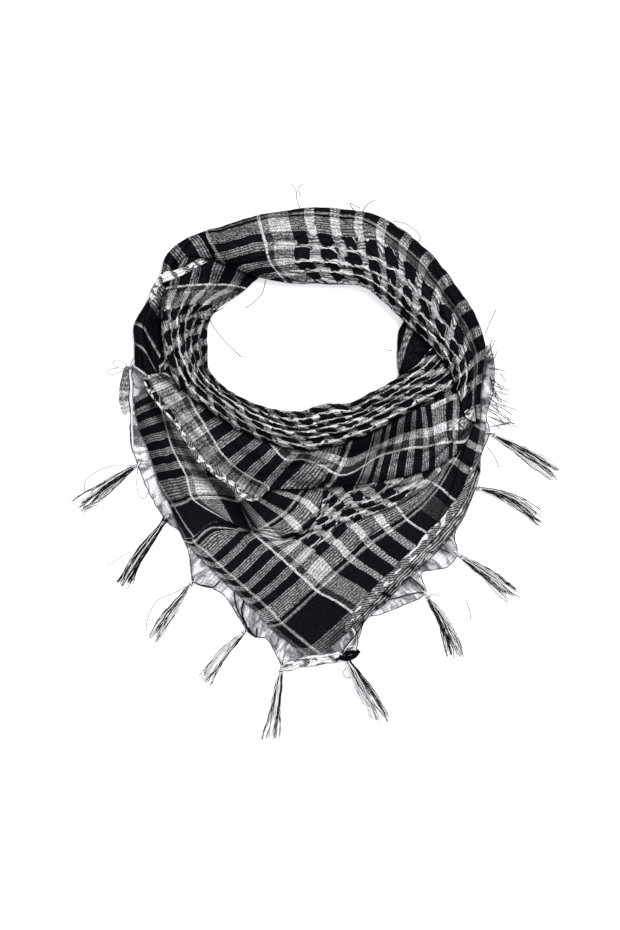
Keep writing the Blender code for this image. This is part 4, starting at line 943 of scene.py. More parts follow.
def cell_relief(cloth, kind, drawn):
    """The weave's own relief: black squares puff up, and where the long white threads have drawn the cloth
    together they stand on the crests of small pleats."""
    p, q = cloth[..., 0], cloth[..., 1]
    again = BANDS[kind][1]
    u = (p - np.where(p > again, again, FIELD_P)) % PERIOD_P
    v = (q - np.where(q > BETWEEN_FIELDS_Q, SECOND_FIELD_Q, FIRST_FIELD_Q[0])) % PERIOD_Q
    puff = swell(u, BLACK_P) * swell(v, BLACK_Q)
    ridge = swell(u - BLACK_P, PERIOD_P - BLACK_P)
    crest = 0.5 - 0.5 * np.cos(2 * np.pi * (v - BLACK_Q / 2) / PERIOD_Q)
    field = ramp(p - FIELD_P + 6, 10) * ramp(q - 70, 10)
    return (np.maximum(puff, 0.6 * ridge) * (1 - 0.6 * drawn) + 1.1 * crest * drawn) * field


# ---------------------------------------------------------------- stacking
def cells_of(x, y):
    """The cells of the plan raster that hold the places."""
    return tuple(np.clip((value / CELL + RASTER / 2).astype(int), 0, RASTER - 1) for value in (x, y))


def inside_facets(grid, steps=3):
    """Places inside each facet of a net, so that nothing is missed between its points."""
    a = np.linspace(0, 1, steps)
    s, t = (k[..., None] for k in np.meshgrid(a, a, indexing="ij"))
    corners = (grid[:-1, :-1], grid[1:, :-1], grid[:-1, 1:], grid[1:, 1:])
    p00, p10, p01, p11 = (p[:, :, None, None, :] for p in corners)
    near = p00 + (p10 - p00) * s + (p01 - p00) * t
    far = p11 + (p01 - p11) * (1 - s) + (p10 - p11) * (1 - t)
    return np.where(s + t <= 1, near, far)


def neighbours(values):
    """The nine values in and around each place."""
    padded = np.pad(values, 1, mode="edge")
    tall, wide = values.shape
    return np.array([padded[i : i + tall, j : j + wide] for i in range(3) for j in range(3)])


def soften(values, times):
    for _ in range(times):
        values = 0.5 * values + 0.5 * neighbours(values).mean(axis=0)
    return values


def lay_on(points, pile, clear):
    """Lifts a net until it clears the pile, with each lift fading out over its surroundings."""
    for turn in range(5):
        samples = inside_facets(points)
        cx, cy = cells_of(samples[..., 0], samples[..., 1])
        short = (pile[cx, cy] + clear - samples[..., 2]).max(axis=(2, 3))
        need = np.zeros(points.shape[:2])
        for i in (0, 1):
            for j in (0, 1):
                block = need[i : i + short.shape[0], j : j + short.shape[1]]
                np.maximum(block, short, out=block)
        if need.max() <= 1e-6:
            break
        if turn < 3:
            wide = need
            for _ in range(3):
                wide = neighbours(wide).max(axis=0)
            need = np.maximum(need, soften(wide, 6))
        points[..., 2] += need
    return points


def add_to_pile(points, pile):
    """Raises the pile to the net that now lies on it."""
    samples = inside_facets(points)
    cx, cy = cells_of(samples[..., 0].ravel(), samples[..., 1].ravel())
    top = np.zeros_like(pile)
    np.maximum.at(top, (cx, cy), samples[..., 2].ravel())
    np.maximum(pile, top, out=pile)


def round_the_edges(points, sides, edge_height, pile):
    """Brings each edge down to its height over the table, or to what lies under it."""
    outer, inner, first, last = sides
    share = np.ones(points.shape[:2])
    for width, axis, flip in ((outer, 1, False), (inner, 1, True), (first, 0, False), (last, 0, True)):
        if width:
            share = np.minimum(share, rounded(plan_lengths(points, axis, flip), width * SQUARE))
    cx, cy = cells_of(points[..., 0], points[..., 1])
    low = np.maximum(edge_height * MM, pile[cx, cy] + CLOTH + GAP)
    low = np.minimum(low, points[..., 2])
    points[..., 2] = low + (points[..., 2] - low) * share
    return points


def fold_shade(points, pile):
    """How deep each point lies below the cloth around it, from 0 to 1, which the material paints in as
    shade.
    """
    cx, cy = cells_of(points[..., 0], points[..., 1])
    depth = 0.0
    for times, full in FOLD_DEPTHS:
        depth = np.maximum(depth, ramp(soften(pile, times)[cx, cy] - points[..., 2], full))
    return depth


def crest_light(points, pile):
    """How far each point stands over the cloth around it, from 0 to 1, which the material paints in as a
    highlight.
    """
    cx, cy = cells_of(points[..., 0], points[..., 1])
    return ramp(points[..., 2] - soften(pile, 5)[cx, cy], CREST_HEIGHT)


def hollow_shade(points, hollows):
    """How dark the painted shade of the listed hollows is, from 0 to 1."""
    x = points[..., 0] / SQUARE + PLAN_CENTRE[0]
    y = PLAN_CENTRE[1] - points[..., 1] / SQUARE
    depth = np.zeros(points.shape[:2])
    for (x0, y0), (x1, y1), half_width, amount in hollows:
        dx, dy = x1 - x0, y1 - y0
        along = ramp((x - x0) * dx + (y - y0) * dy, dx**2 + dy**2)
        far = np.hypot(x - x0 - along * dx, y - y0 - along * dy)
        depth = np.maximum(depth, amount * np.exp(-((far / half_width) ** 2)))
    return depth


# ---------------------------------------------------------------- meshes
def add_object(name, vertices, faces, material, uvs, attributes=()):
    mesh = bpy.data.meshes.new(name)
    mesh.from_pydata([tuple(map(float, v)) for v in vertices], [], [tuple(map(int, f)) for f in faces])
    layer = mesh.uv_layers.new(name="UVMap")
    loops = np.empty(len(mesh.loops), np.int32)
    mesh.loops.foreach_get("vertex_index", loops)
    layer.data.foreach_set("uv", np.asarray(uvs, np.float32)[loops].ravel())
    for label, values in attributes:
        layer = mesh.attributes.new(label, "FLOAT", "POINT")
        layer.data.foreach_set("value", np.asarray(values, np.float32).ravel())
    mesh.materials.append(material)
    mesh.shade_smooth()
    obj = bpy.data.objects.new(name, mesh)
    bpy.context.scene.collection.objects.link(obj)
    return obj


def add_sheet(name, points, cloth, shade, crest, drawn, material):
    """A net as a sheet of cotton, with its top facing up."""
    along, across = points.shape[:2]
    index = np.arange(along * across).reshape(along, across)
    faces = np.stack([index[:-1, :-1], index[1:, :-1], index[1:, 1:], index[:-1, 1:]], -1).reshape(-1, 4)
    corners = points.reshape(-1, 3)[faces[len(faces) // 2]]
    if np.cross(corners[1] - corners[0], corners[2] - corners[0])[2] < 0:
        faces = faces[:, ::-1]
    place = cloth.reshape(-1, 2) / CLOTH_SCALE
    # painted shade and painted highlight for the material, and how tightly the floats draw the cloth
    attributes = (("painted_fold_shade", shade), ("painted_crest_light", crest), ("drawn_together", drawn))
    obj = add_object(name, points.reshape(-1, 3), faces, material, place, attributes)
    solid = obj.modifiers.new("thickness", "SOLIDIFY")
    solid.thickness = CLOTH
    solid.offset = -1
    solid.use_even_offset = False
    return obj


def add_hidden_folds(material):
    """The hidden layers: the solid's own form, with the rims of its layers standing out as soft rolls and
    painted shade in the grooves between them.
    """
    shape = bmesh.new()
    shape.from_mesh(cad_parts["hidden_layers"].data)
    bmesh.ops.remove_doubles(shape, verts=shape.verts, dist=1e-5)
    bmesh.ops.subdivide_edges(shape, edges=shape.edges[:], cuts=2, use_grid_fill=True)
    shape.normal_update()
    places = np.array([vertex.co for vertex in shape.verts])
    outward = np.array([vertex.normal for vertex in shape.verts])
    faces = [[vertex.index for vertex in face.verts] for face in shape.faces]
    shape.free()
    steep = 1 - np.abs(outward[:, 2:])
    x, y, z = places.T
    wander = noise(x / (18 * MM), y / (18 * MM), 40)
    rim = np.abs(np.sin(np.pi * (z / LAYER + 0.8 * wander))) ** 0.6 - 0.7
    places = places + outward * steep * (1.1 * MM * rim)[:, None]
    places[:, 2] = np.maximum(places[:, 2], 0.0)
    turned = 0.8 * x + 0.6 * y, 0.8 * y - 0.6 * x
    start_p, start_q = HIDDEN_CLOTH
    cloth = np.stack([turned[0] + start_p * SQUARE, turned[1] - z + start_q * SQUARE], -1) / SQUARE
    # painted shade in the grooves between the rims, on the steep sides
    shade = steep[:, 0] * np.clip(-1.2 * rim, 0, 1)
    still = np.zeros(len(places))
    attributes = (("painted_fold_shade", shade), ("painted_crest_light", still), ("drawn_together", still + 0.3))
    return add_object("cloth_hidden_layers", places, faces, material, cloth / CLOTH_SCALE, attributes)


def rolled_strip(middle, height, floats, seed):
    """A soft roll of cloth along the line: a low arch in section, uneven along its length."""
    middle = np.asarray(middle, float)
    count = int(2.2 * np.hypot(*np.diff(middle[:, :2], axis=0).T).sum() / 2)
    line = smooth_through(middle, count)
    half_width = line[:, 3:]
    x, y = plan(line[:, 0], line[:, 1])
    line = np.stack([x, y, line[:, 2] * MM], -1)
    far = lengths(line, 0) / SQUARE
    ahead = unit(np.gradient(line[:, :2], axis=0))
    side = np.stack([-ahead[:, 1], ahead[:, 0]], -1)
    turn = np.linspace(-1, 1, ROLL_COLUMNS)[None, :]
    uneven = 0.78 + 0.44 * noise(far / 11, 0.5, seed)[:, None]
    lump = 0.7 * noise(far[:, None] / 7, 3 * turn, seed + 1)
    lump = lump + 0.5 * noise(far[:, None] / 3, 6 * turn, seed + 2)
    taper = np.clip(np.minimum(far, far[-1] - far)[:, None] / 6, 0.25, 1)
    wide = half_width * SQUARE * turn * uneven * taper
    points = np.empty((count, ROLL_COLUMNS, 3))
    points[..., :2] = line[:, None, :2] + side[:, None] * wide[..., None]
    arch = np.sqrt(np.clip(1 - np.abs(turn) ** 2.2, 0, 1))
    points[..., 2] = line[:, 2:] + height * MM * (arch * uneven - 0.6 + 0.8 * (lump - 0.6) * arch)
    points[..., 2] = np.maximum(points[..., 2], LOWEST_ROLL)
    return points, np.stack([far[:, None] + 0 * turn, half_width * turn + ROLL_STEP * floats], -1)


# ---------------------------------------------------------------- threads
def across_path(path):
    """Two directions square to a path at each of its points: a level one and one that points up."""
    ahead = unit(np.gradient(path, axis=0))
    side = unit(np.cross(ahead, (0.0, 0.0, 1.0)))
    return side, np.cross(side, ahead)


def add_tubes(name, tubes, material):
    """Closed tubes as one piece. Each has its path in metres, its radius, how white it is and its sides."""
    vertices, faces, uvs = [], [], []
    for path, radius, white, sides in tubes:
        path = np.asarray(path, float)
        radius = np.broadcast_to(radius, len(path))
        side, up = across_path(path)
        far = lengths(path, 0)
        first = len(vertices)
        for k, place in enumerate(path):
            for corner in range(sides):
                angle = 2 * math.pi * corner / sides
                vertices.append(place + radius[k] * (math.cos(angle) * side[k] + math.sin(angle) * up[k]))
                uvs.append((white, far[k]))
        for k in range(len(path) - 1):
            a, b = first + k * sides, first + (k + 1) * sides
            for corner in range(sides):
                onward = (corner + 1) % sides
                faces.append((a + corner, a + onward, b + onward, b + corner))
        end = first + (len(path) - 1) * sides
        faces.append([first + corner for corner in reversed(range(sides))])
        faces.append([end + corner for corner in range(sides)])
    return add_object(name, vertices, faces, material, uvs)


def twisted(path, strands, helix, radius, pitch, start):
    """Strands wound round a path; strands are how white each is."""
    far = lengths(path, 0)
    side, up = across_path(path)
    tubes = []
    for k, white in enumerate(strands):
        angle = start + 2 * math.pi * (far / pitch + k / len(strands))
        place = path + helix * (np.cos(angle)[:, None] * side + np.sin(angle)[:, None] * up)
        tubes.append((place, radius, white, KNOT_SIDES))
    return tubes


def knot_tubes(hem, tie, ahead, side, seed):
    """The neck of thread between a tassel's knot and the hem, and the three turns of the knot."""
    path = smooth_through([hem - 0.6 * (tie - hem), hem, tie, tie + 0.5 * (tie - hem)], 14)
    tubes = twisted(path, NECK_STRANDS, helix=0.9 * MM, radius=0.75 * MM, pitch=14 * MM, start=seed)
    for turn, white in enumerate(KNOT_TURNS):
        middle = tie[:2] - ahead * 1.1 * MM * (turn - 0.6)
        ring = [
            (*(middle + side * 2.0 * MM * math.cos(angle)), tie[2] + 1.6 * MM * math.sin(angle))
            for angle in np.linspace(0, 2 * math.pi, 13)
        ]
        tubes.append((ring, 0.6 * MM, white, KNOT_SIDES))
    return tubes


def tassel_tubes(corner, knot, end, spread_width, dark, bow, seed):
    """Clumps of strands that spread out from the knot, with the knot itself."""
    rng = np.random.default_rng(seed)
    start = np.array(plan(*knot))
    reach = np.array(plan(*end)) - start
    length = np.linalg.norm(reach)
    ahead = reach / length
    side = np.array([-ahead[1], ahead[0]])
    tubes = []
    t = np.linspace(0, 1, 22)
    for clump in range(CLUMPS):
        lane = (clump + rng.uniform(0.1, 0.9)) / CLUMPS - 0.5
        clump_phase = rng.uniform(0, 6.28, 2)
        clump_reach = rng.uniform(0.86, 1.0)
        clump_dark = rng.uniform() < dark
        for _ in range(STRANDS_IN_CLUMP):
            own_lane = lane + rng.uniform(-0.07, 0.07)
            phase = rng.uniform(0, 6.28, 2)
            row = rng.uniform(0, 1)
            far = length * clump_reach * rng.uniform(0.90, 1.03)
            wide = 0.10 + 0.90 * t**0.7
            across = own_lane * wide * spread_width * SQUARE - bow * SQUARE * np.sin(np.pi * t)
            across = across + 1.7 * MM * t * np.sin(clump_phase[0] + 6.0 * t)
            across = across + 0.8 * MM * t * np.sin(phase[0] + 11 * t)
            across = across + 0.35 * MM * np.sin(phase[1] + 27 * t)
            high = (1.8 + 2.2 * row) * MM * (1 - t) + (0.7 + 2.4 * row) * MM * t
            high = high + 0.5 * MM * np.sin(clump_phase[1] + 8 * t) * t
            at = start[None] + ahead[None] * (far * t)[:, None] + side[None] * across[:, None]
            path = np.column_stack([at, np.maximum(high, 0.5 * MM)])
            is_dark = clump_dark if rng.uniform() < 0.8 else not clump_dark
            white = rng.uniform(0.0, 0.03) if is_dark else rng.uniform(0.75, 1.0)
            tubes.append((path, STRAND_RADIUS * (1 - 0.4 * t) * rng.uniform(0.8, 1.2), white, 4))
    hem = np.array([*plan(*corner), HEM_HEIGHT])
    return tubes + knot_tubes(hem, np.array([*start, KNOT_HEIGHT]), ahead, side, seed)


def outer_edge(points):
    """The outer edge of a net, read at three places for every four of its rows."""
    at = np.linspace(0, 1, max(20, len(points) * 3 // 4)) * (len(points) - 1)
    return points[at.astype(int), 0]


def waved(path, amount, seed):
    """A path that wanders over the table by up to the amount, in squares, to either side."""
    far = np.arange(len(path)) / 3.0
    wave = np.stack([noise(far, 0.5 + k, seed) - 0.5 for k in range(2)], -1)
    path = path.copy()
    path[:, :2] += 2 * amount * SQUARE * wave
    return path


def laid_thread(places, heights, count, radius, white, sides):
    """A thread through places on the drawing grid, with a height in mm at each."""
    x, y = plan(*np.transpose(places))
    return smooth_through(np.stack([x, y, np.asarray(heights) * MM], -1), count), radius, white, sides


# ---------------------------------------------------------------- materials
class Value:
    """A number that a material's nodes work out. Arithmetic with it puts new nodes behind it."""

    def __init__(self, graph, socket):
        self.graph = graph
        self.socket = socket

    def __add__(self, other):
        return self.graph.math("ADD", self, other)

    def __sub__(self, other):
        return self.graph.math("SUBTRACT", self, other)

    def __mul__(self, other):
        return self.graph.math("MULTIPLY", self, other)

    def __gt__(self, other):
        """1 where this is over the other, and 0 elsewhere."""
        return self.graph.math("GREATER_THAN", self, other)

    def __lt__(self, other):
        return self.graph.math("LESS_THAN", self, other)

    def line(self, slope, level):
        return self.graph.math("MULTIPLY_ADD", self, slope, level)

    def within(self, low, high):
        return self.graph.math("MINIMUM", self.graph.most(self, low), high)


class Graph:
    """Short ways to wire a material's nodes."""

    def __init__(self, name):
        self.material = bpy.data.materials.new(name)
        self.material.use_nodes = True
        self.nodes = self.material.node_tree.nodes
        self.links = self.material.node_tree.links
        self.shader = self.nodes["Principled BSDF"]

    def put(self, socket, value):
        if isinstance(value, Value):
            self.links.new(value.socket, socket)
        else:
            socket.default_value = value

    def node(self, kind, *values, **settings):
        """A new node with its settings, and with the values put into its inputs in turn."""
        node = self.nodes.new(kind)
        for setting, choice in settings.items():
            setattr(node, setting, choice)
        for socket, value in zip(node.inputs, values):
            self.put(socket, value)
        return node

    def parts(self, kind, socket):
        """The three parts of a colour or a point."""
        return [Value(self, part) for part in self.node(kind, Value(self, socket)).outputs[:3]]

    def math(self, operation, *values):
        return Value(self, self.node("ShaderNodeMath", *values, operation=operation).outputs[0])

    def most(self, a, b):
        return self.math("MAXIMUM", a, b)

    def blend(self, share, a, b):
        """a where share is 0, b where it is 1."""
        return self.math("MULTIPLY", a, share.line(-1.0, 1.0)) + self.math("MULTIPLY", b, share)

    def phase(self, value, start, period):
        """The value's place in its period, in the value's own unit."""
        return self.math("FRACT", (value - start) * (1 / period)) * period

    def wave(self, value, length):
        """A sharpened ripple from 0 to 1."""
        return self.math("SINE", value * (2 * math.pi / length)).line(0.9, 0.5).within(0.0, 1.0)

    def point(self, x, y):
        return Value(self, self.node("ShaderNodeCombineXYZ", x, y, 0.0).outputs[0])

    def noise(self, place, scale, detail=1.0):
        """Three noises from 0 to 1."""
        node = self.node("ShaderNodeTexNoise")
        node.inputs["Scale"].default_value = scale
        node.inputs["Detail"].default_value = detail
        self.put(node.inputs["Vector"], place)
        return self.parts("ShaderNodeSeparateColor", node.outputs["Color"])

    def steps(self, value, span, stops):
        """A staircase: the value at each stop holds until the next."""
        node = self.node("ShaderNodeValToRGB", value * (1 / span))
        stairs = node.color_ramp
        stairs.interpolation = "CONSTANT"
        while len(stairs.elements) < len(stops):
            stairs.elements.new(1.0)
        for element, (at, level) in zip(stairs.elements, stops):
            element.position = at / span
            element.color = (level, level, level, 1)
        return self.parts("ShaderNodeSeparateColor", node.outputs[0])[0]

    def colour(self, share, dark, light):
        node = self.node("ShaderNodeMix", data_type="RGBA")
        for socket, value in ((0, share), (6, dark), (7, light)):
            self.put(node.inputs[socket], value)
        return Value(self, node.outputs[2])

    def cloth_place(self):
        uv = self.node("ShaderNodeUVMap", uv_map="UVMap")
        u, v, _ = self.parts("ShaderNodeSeparateXYZ", uv.outputs[0])
        return u * CLOTH_SCALE, v * CLOTH_SCALE

    def attribute(self, name):
        return Value(self, self.node("ShaderNodeAttribute", attribute_name=name).outputs["Fac"])

    def matte(self, colour, roughness=1.0, specular=0.015):
        self.put(self.shader.inputs["Base Color"], colour)
        self.shader.inputs["Roughness"].default_value = roughness
        self.shader.inputs["Specular IOR Level"].default_value = specular


def check_material():
    """The woven square: border stripes both ways, and the fields of checks with their long floats."""
    g = Graph("woven check")
    p, q = g.cloth_place()
    drawn = g.attribute("drawn_together")
    arm = p > KIND_STEP
    cowl = p > 2 * KIND_STEP
    p = p + (arm + cowl) * -KIND_STEP
    flat = g.point(p, q)
    wide_p, wide_q, tone = g.noise(flat, 1 / 12.0)
    fine_p, fine_q, speck = g.noise(flat, 1 / 1.7)
    streak_q, streak_p, _ = g.noise(g.point(p * 0.12, q * 0.75), 1.0)
    # where the first stretch of columns stops, and where the second one starts
    (arm_stop, arm_again), (cowl_stop, cowl_again) = BANDS[ARM_CLOTH], BANDS[COWL_CLOTH]
    stop = g.blend(arm, NEVER, arm_stop) + cowl * (cowl_stop - arm_stop)
    again = g.blend(arm, NEVER, arm_again) + cowl * (cowl_again - arm_again)
    again = again + cowl * (q > FIRST_FIELD_Q[0]) * NEVER
    first_columns = (p > FIELD_P) * (p < stop)
    first_rows = (q > FIRST_FIELD_Q[0]) * (q < FIRST_FIELD_Q[1])
    rows = first_rows + (q > SECOND_FIELD_Q - 1)
    in_field = g.most(first_columns, p > again) * rows

    # the threads wander, most of all in the check field where the long floats pull them about
    swing = in_field * drawn.line(7.0, 6.4) + 1.6
    p = p + (wide_p - 0.5) * swing
    q = q + (wide_q - 0.5) * swing
    rib = g.wave(q, RIB_Q)
    hatch = g.wave(p + q * 0.8, RIB_P)
    p = p + fine_p.line(1.4, -0.7)
    q = q + fine_q.line(1.2, -0.6)

    # the floats pull the black row thin at each column and let it open between them
    start = g.blend(p > again, FIELD_P, again)
    start_q = g.blend(q > BETWEEN_FIELDS_Q, FIRST_FIELD_Q[0], SECOND_FIELD_Q)
    column_at = p - (BLACK_P + PERIOD_P) / 2 - start
    row_at = q - BLACK_Q / 2 - start_q
    pinch_p = g.math("COSINE", column_at * (2 * math.pi / PERIOD_P))
    pinch_q = g.math("SINE", row_at * (2 * math.pi / PERIOD_Q))
    q = q + in_field * (pinch_p * pinch_q) * drawn.line(0.9, 0.6)
    v = g.phase(q, start_q, PERIOD_Q)
    bent = p + in_field * v.line(-3.0 / PERIOD_Q, 1.5)
    u = g.phase(bent, start, PERIOD_P)

    column = u > BLACK_P
    plain_stripes = g.blend(p > FIELD_P, g.steps(p, P_SPAN, P_STRIPES), column)
    arm_stripes = g.blend(p > arm_again, g.steps(p, BAND_SPAN, ARM_STRIPES), column)
    cowl_stripes = g.blend(p > again, g.steps(p, BAND_SPAN, COWL_STRIPES), column)
    warp = g.blend(arm, plain_stripes, g.blend(cowl, arm_stripes, cowl_stripes))
    warp = g.blend(first_columns, warp, first_columns * column)
    row = v > BLACK_Q
    weft = g.blend(q > SECOND_FIELD_Q, g.steps(q, Q_SPAN, Q_STRIPES), row)

    # the long white floats that reach into the black from either side, one high and one low in each row
    d = v - BLACK_Q
    reach = drawn * 3.2
    high = (u + reach > d.line(1.0, 7.0)) * (d < 3.4)
    low = (u - reach < d.line(1.2, 2.6)) * (d > 4.8)
    tongue = in_field * row * g.most(high, low)

    band = g.steps(p, BAND_SPAN, THIN_BAND) * arm
    thin = g.most(g.steps(p, P_SPAN, THIN_P), g.most(band, g.steps(q, Q_SPAN, THIN_Q)))

    # grey where only one of warp and weft is white, and white where both are
    grain = rib * hatch.line(0.34, 0.68)
    pebble = g.wave(q, RIB_Q * 1.3) * hatch.line(0.7, 0.3)
    speckle = g.most(speck.line(4.8, -1.4), 0.1)
    bars = grain.line(0.32, 0.06) * speckle
    bars = g.blend(in_field, bars, bars * 0.35)
    border_speckle = speckle * (p > FIELD_P).line(0.4, 1.0)
    smooth_grey = pebble.line(0.26, 0.12) * border_speckle
    columns_in_field = rib.line(0.66, 0.1) * speck.line(2.4, -0.2)
    smooth_grey = g.blend(in_field, smooth_grey, columns_in_field)
    both = pebble.line(0.52, 0.5) * speck.line(2.4, -0.2)
    white = g.blend(warp, weft * bars, g.blend(weft, smooth_grey, both))
    white = g.blend(tongue, white, streak_q.line(2.2, -0.2) * speck.line(1.6, 0.2))
    white = g.most(white, thin * speck.line(1.8, 0.0))
    white = white * tone.line(0.9, 0.52)
    # painted highlight on the crests, and painted shade beside them, strongest in the check field
    crest = g.attribute("painted_crest_light")
    white = white * g.blend(in_field, crest.line(0.45, 0.86), crest.line(1.1, 0.62))
    white = white + speckle * streak_p * 0.008
    lit = g.colour(white.within(0.0, 1.0), INK, COTTON)
    # painted shade: the colour goes towards near black where the fold lies deep or a listed hollow is
    g.matte(g.colour(g.attribute("painted_fold_shade") * 0.9, lit, PAINTED_SHADE_DARK))
    bump = g.node("ShaderNodeBump")
    bump.inputs["Strength"].default_value = 0.5
    bump.inputs["Distance"].default_value = 0.4 * MM
    g.put(bump.inputs["Height"], white * 0.7 + speck * 0.8)
    g.put(g.shader.inputs["Normal"], Value(g, bump.outputs[0]))
    return g.material


def gauze_material():
    """The second layer's hem: thin pale cotton, drawn into pleats by the tassels' knots, with painted shade
    along its pleats and in its hollows.
    """
    g = Graph("pale hem gauze")
    p, q = g.cloth_place()
    on_right = q < HEM_WIDTH
    along = g.blend(on_right, q, p)
    across = g.blend(on_right, p, q)
    flat = g.point(p, q)
    _, wide, _ = g.noise(flat, 1 / 9.0, 2.0)
    fine, _, _ = g.noise(flat, 1 / 1.7)
    # painted shade: a dark line along each pleat, running in from the edge
    bent = along * 0.085 + wide * 0.9
    pleat, broad, _ = g.noise(g.point(bent, across * 0.05), 1.0, 2.0)
    line = (g.math("ABSOLUTE", pleat - 0.5) * 11.0).within(0.0, 1.0)
    grain = g.wave(q, 2.3) * g.wave(p, 2.1)
    grey = broad.line(3.0, -0.75).within(0.16, 1.0)
    grey = grey * line.line(0.7, 0.3)
    grey = grey * grain.line(0.4, 0.76)
    grey = grey * fine.line(1.1, 0.45)
    # painted shade from the folds and the listed hollows
    grey = grey.within(0.03, 1.0) * g.attribute("painted_fold_shade").line(-0.7, 1.0)
    g.matte(g.colour(grey, PLEAT_SHADE, GAUZE))
    return g.material


def rolled_material():
    """A rolled edge: ribs run along it, and white floats lie on its inner half or all over it."""
    g = Graph("rolled hem")
    along, across = g.cloth_place()
    all_over = across > ROLL_STEP / 2
    in_blocks = across > 1.5 * ROLL_STEP
    across = across + (all_over + in_blocks) * -ROLL_STEP
    place = g.point(along, across)
    wide, tone, _ = g.noise(place, 1 / 8.0)
    fine, speck, _ = g.noise(place, 1 / 1.7)
    across = across + wide.line(2.6, -1.3)
    patch, streak, _ = g.noise(g.point(along * 0.085, across * 0.22), 1.0)
    lying = patch + all_over * 0.13 - 0.57
    lying = (lying * 18.0).within(0.0, 1.0)
    slanting = g.wave(along * 0.75 + across, 2.7)
    dark = slanting.line(0.24, 0.02) * speck.line(2.6, -0.4)
    light = g.wave(across, 3.1).line(0.34, 0.54) * streak.line(0.8, 0.5)
    block = g.phase(along + wide * 22.0, 0.0, BLOCK_PERIOD) < BLOCK
    lying = lying * g.blend(in_blocks, 1.0, block)
    lying = g.most(lying, in_blocks * (block * (along < 48.0)))
    inner = g.blend(lying, dark, light)
    outer = g.wave(across, 2.6).line(0.36, 0.01) * tone.line(3.4, -1.05)
    grey = g.blend(g.most(all_over, across > 0.0), outer, inner)
    grey = grey * fine.line(1.2, 0.4)
    g.matte(g.colour(grey.within(0.0, 1.0), INK, FLOAT_COTTON))
    return g.material


def thread_material():
    """Loose thread: the UV holds how white it is, and the distance along it in metres."""
    g = Graph("cotton thread")
    white, far = g.cloth_place()
    white = white * (1 / CLOTH_SCALE)
    twist = g.math("SINE", far * (2 * math.pi / (TWIST * CLOTH_SCALE))).line(0.18, 0.82)
    g.matte(g.colour(white * twist, INK, THREAD_COTTON), 0.9, 0.03)
    return g.material


# ---------------------------------------------------------------- the cloth
check = check_material()
gauze = gauze_material()
thread = thread_material()
rolled_cloth = rolled_material()

pile = np.zeros((RASTER, RASTER))  # the height of the cloth laid so far
nets = []
for number, own in enumerate(STRETCHES):
    stretch = {**DEFAULTS, **own}
    name = stretch["name"]
    kind = stretch["kind"]
    points, cloth = fine_net(stretch)
    points = ruffle_edges(points, RUFFLES.get(name, USUAL_RUFFLE), 20 + 3 * number)
    smooth = points.copy()
    points = add_folds(points, FOLDS.get(name, ()))
    points = add_gathers(points, GATHERS.get(name, ()))
    cloth = tuck_in(slide_along_cloth(points, smooth, cloth), stretch["tuck"])
    cloth = draw_cloth_in(cloth, kind, stretch["draw"])
    drawn = drawn_together(*stretch["drawn"], points.shape[:2])
    points[..., 2] += stretch["pucker"] * MM * (1.6 * cell_relief(cloth, kind, drawn) - 0.5)
    points[..., 2] = np.maximum(points[..., 2], LOWEST_CLOTH)
    points = round_the_edges(points, stretch["sides"], EDGE_HEIGHT.get(name, LOWEST_EDGE), pile)
    if name not in HEMS:
        points = lay_on(points, pile, CLOTH + GAP)
    elif number > 0:
        points = lay_on(points, pile, CLOTH)
    add_to_pile(points, pile)
    cloth[..., 0] += KIND_STEP * kind
    nets.append((name, points, cloth, smooth, drawn))

for name, points, cloth, smooth, drawn in nets:
    # painted shade from the fold depth and the listed hollows, and a painted highlight on the crests
    shade = np.maximum(fold_shade(points, pile), hollow_shade(points, PAINTED_HOLLOW_SHADE.get(name, ())))
    crest = crest_light(points, pile)
    material = gauze if name in HEMS else check
    piece = add_sheet("cloth_" + name, points, cloth, shade, crest, drawn, material)
    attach(piece, "root")
    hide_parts(name)
    width = round(float(lengths(smooth, 1)[:, -1].mean()) * GATHERED_ACROSS, 3)
    length = round(float(lengths(smooth, 0)[-1].mean()) * GATHERED_ALONG, 3)

for number, tassel in enumerate(TASSELS, 1):
    piece = add_tubes(f"threads_tassel_{number:02d}", tassel_tubes(*tassel, number), thread)
    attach(piece, "root")
    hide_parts(f"tassel_{number:02d}")

hidden = add_hidden_folds(check)
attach(hidden, "root")
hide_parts("hidden_layers")

# ---------------------------------------------------------------- cords, rolled edges and loose threads
cords = []
for seed, (_, points, *_) in enumerate(nets[: len(HEMS)], 60):
    edge = outer_edge(points)
    edge[:, 2] += 0.3 * MM
    cords.append((waved(edge, 0.5, seed), CORD_RADIUS, DARK_CORD, 5))
    cords.append((waved(edge, 0.9, seed + 5), THIN_RADIUS, LIGHT_CORD, 5))
cord_piece = add_tubes("cord_hem_edges", cords, thread)

for number, (name, middle, height, floats) in enumerate(ROLLED):
    points, cloth = rolled_strip(middle, height, floats, 90 + 4 * number)
    points = lay_on(points, pile, CLOTH + 0.2 * MM)
    add_to_pile(points, pile)
    still = np.zeros(points.shape[:2])
    piece = add_sheet("cloth_" + name, points, cloth, still, still, still, rolled_cloth)
    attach(piece, "root")
    half_width = np.mean([place[3] for place in middle])
    width = max(NARROWEST, round(2 * ROLLED_OVER * half_width * SQUARE, 3))
    length = round(float(cloth[-1, 0, 0]) * SQUARE * GATHERED_ALONG, 3)

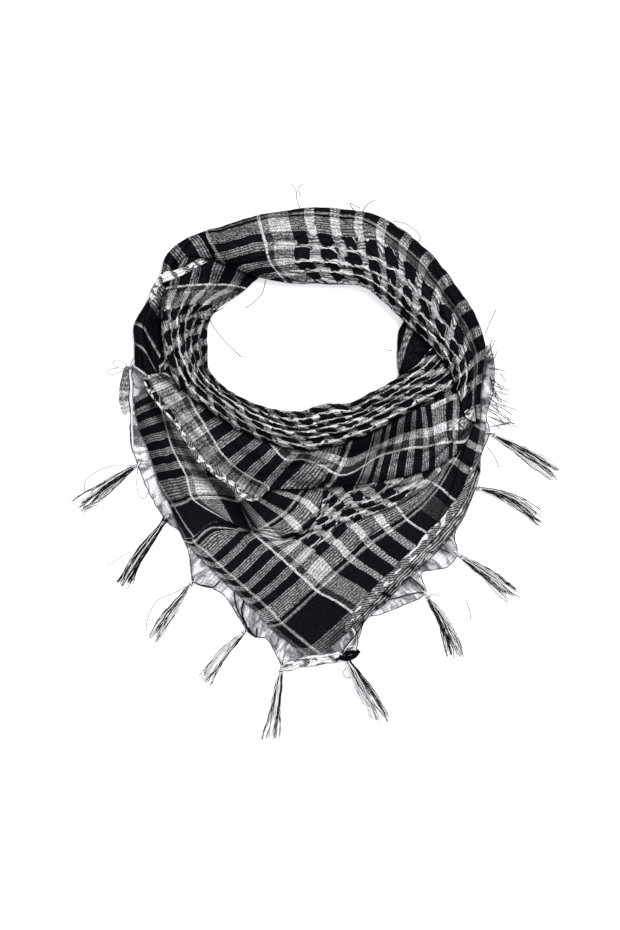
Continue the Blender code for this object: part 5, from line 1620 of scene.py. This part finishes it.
threads = []
for places, high, low, white in LOOSE_THREADS:
    heights = np.linspace(high, low, len(places))
    threads.append(laid_thread(places, heights, 6 * len(places), LOOSE_RADIUS, white, 4))
for places, high, low, radius, white in KNOT_CURLS:
    heights = np.linspace(high, low, len(places))
    threads.append(laid_thread(places, heights, 8 * len(places), radius * MM, white, 8))
rng = np.random.default_rng(5)
for start, end in FRAYS:
    for _ in range(2):
        middle = (np.array(start) + np.array(end)) / 2 + rng.uniform(-FRAY_SWING, FRAY_SWING, 2)
        tip = np.array(end) + rng.uniform(-FRAY_SWING, FRAY_SWING, 2)
        heights = (2.5, rng.uniform(1.5, 4), 0.6)
        white = rng.choice([0.0, 0.1, 0.6])
        threads.append(laid_thread((start, middle, tip), heights, 12, THIN_RADIUS, white, 4))
thread_piece = add_tubes("threads_loose", threads, thread)
for piece in (cord_piece, thread_piece):
    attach(piece, "root")

# ---------------------------------------------------------------- floor, light and camera
floor_mesh = bpy.data.meshes.new("floor")
corners = [(x * FLOOR_HALF, y * FLOOR_HALF, 0) for x, y in ((-1, -1), (1, -1), (1, 1), (-1, 1))]
floor_mesh.from_pydata(corners, [], [(0, 1, 2, 3)])
floor_object = bpy.data.objects.new("floor", floor_mesh)
bpy.context.scene.collection.objects.link(floor_object)
paper = Graph("white paper")
paper.shader.inputs["Base Color"].default_value = PAPER
paper.shader.inputs["Roughness"].default_value = 0.8
floor_mesh.materials.append(paper.material)

world = bpy.data.worlds.new("world")
bpy.context.scene.world = world
world.use_nodes = True
world.node_tree.nodes["Background"].inputs[0].default_value = SKY
world.node_tree.nodes["Background"].inputs[1].default_value = SKY_STRENGTH


def add_sun(name, strength, angle, azimuth, elevation):
    light = bpy.data.lights.new(name, "SUN")
    light.energy = strength
    light.angle = math.radians(angle)
    lamp = bpy.data.objects.new(name, light)
    lamp.rotation_euler = (0, math.radians(90 - elevation), math.radians(azimuth))
    bpy.context.scene.collection.objects.link(lamp)


add_sun("key", strength=2.9, angle=35, azimuth=50, elevation=50)
add_sun("fill", strength=1.3, angle=60, azimuth=240, elevation=62)

camera_data = bpy.data.cameras.new("camera")
camera_data.sensor_fit = "VERTICAL"
camera_data.sensor_height = SENSOR
camera_data.lens = camera_data.sensor_height * DISTANCE / (VIEW_SIZE * SQUARE)
camera_data.clip_end = 20
camera = bpy.data.objects.new("camera", camera_data)
camera.location = (*plan(*VIEW_CENTRE), DISTANCE)
bpy.context.scene.collection.objects.link(camera)
bpy.context.scene.camera = camera
bpy.context.scene.view_settings.view_transform = "Standard"
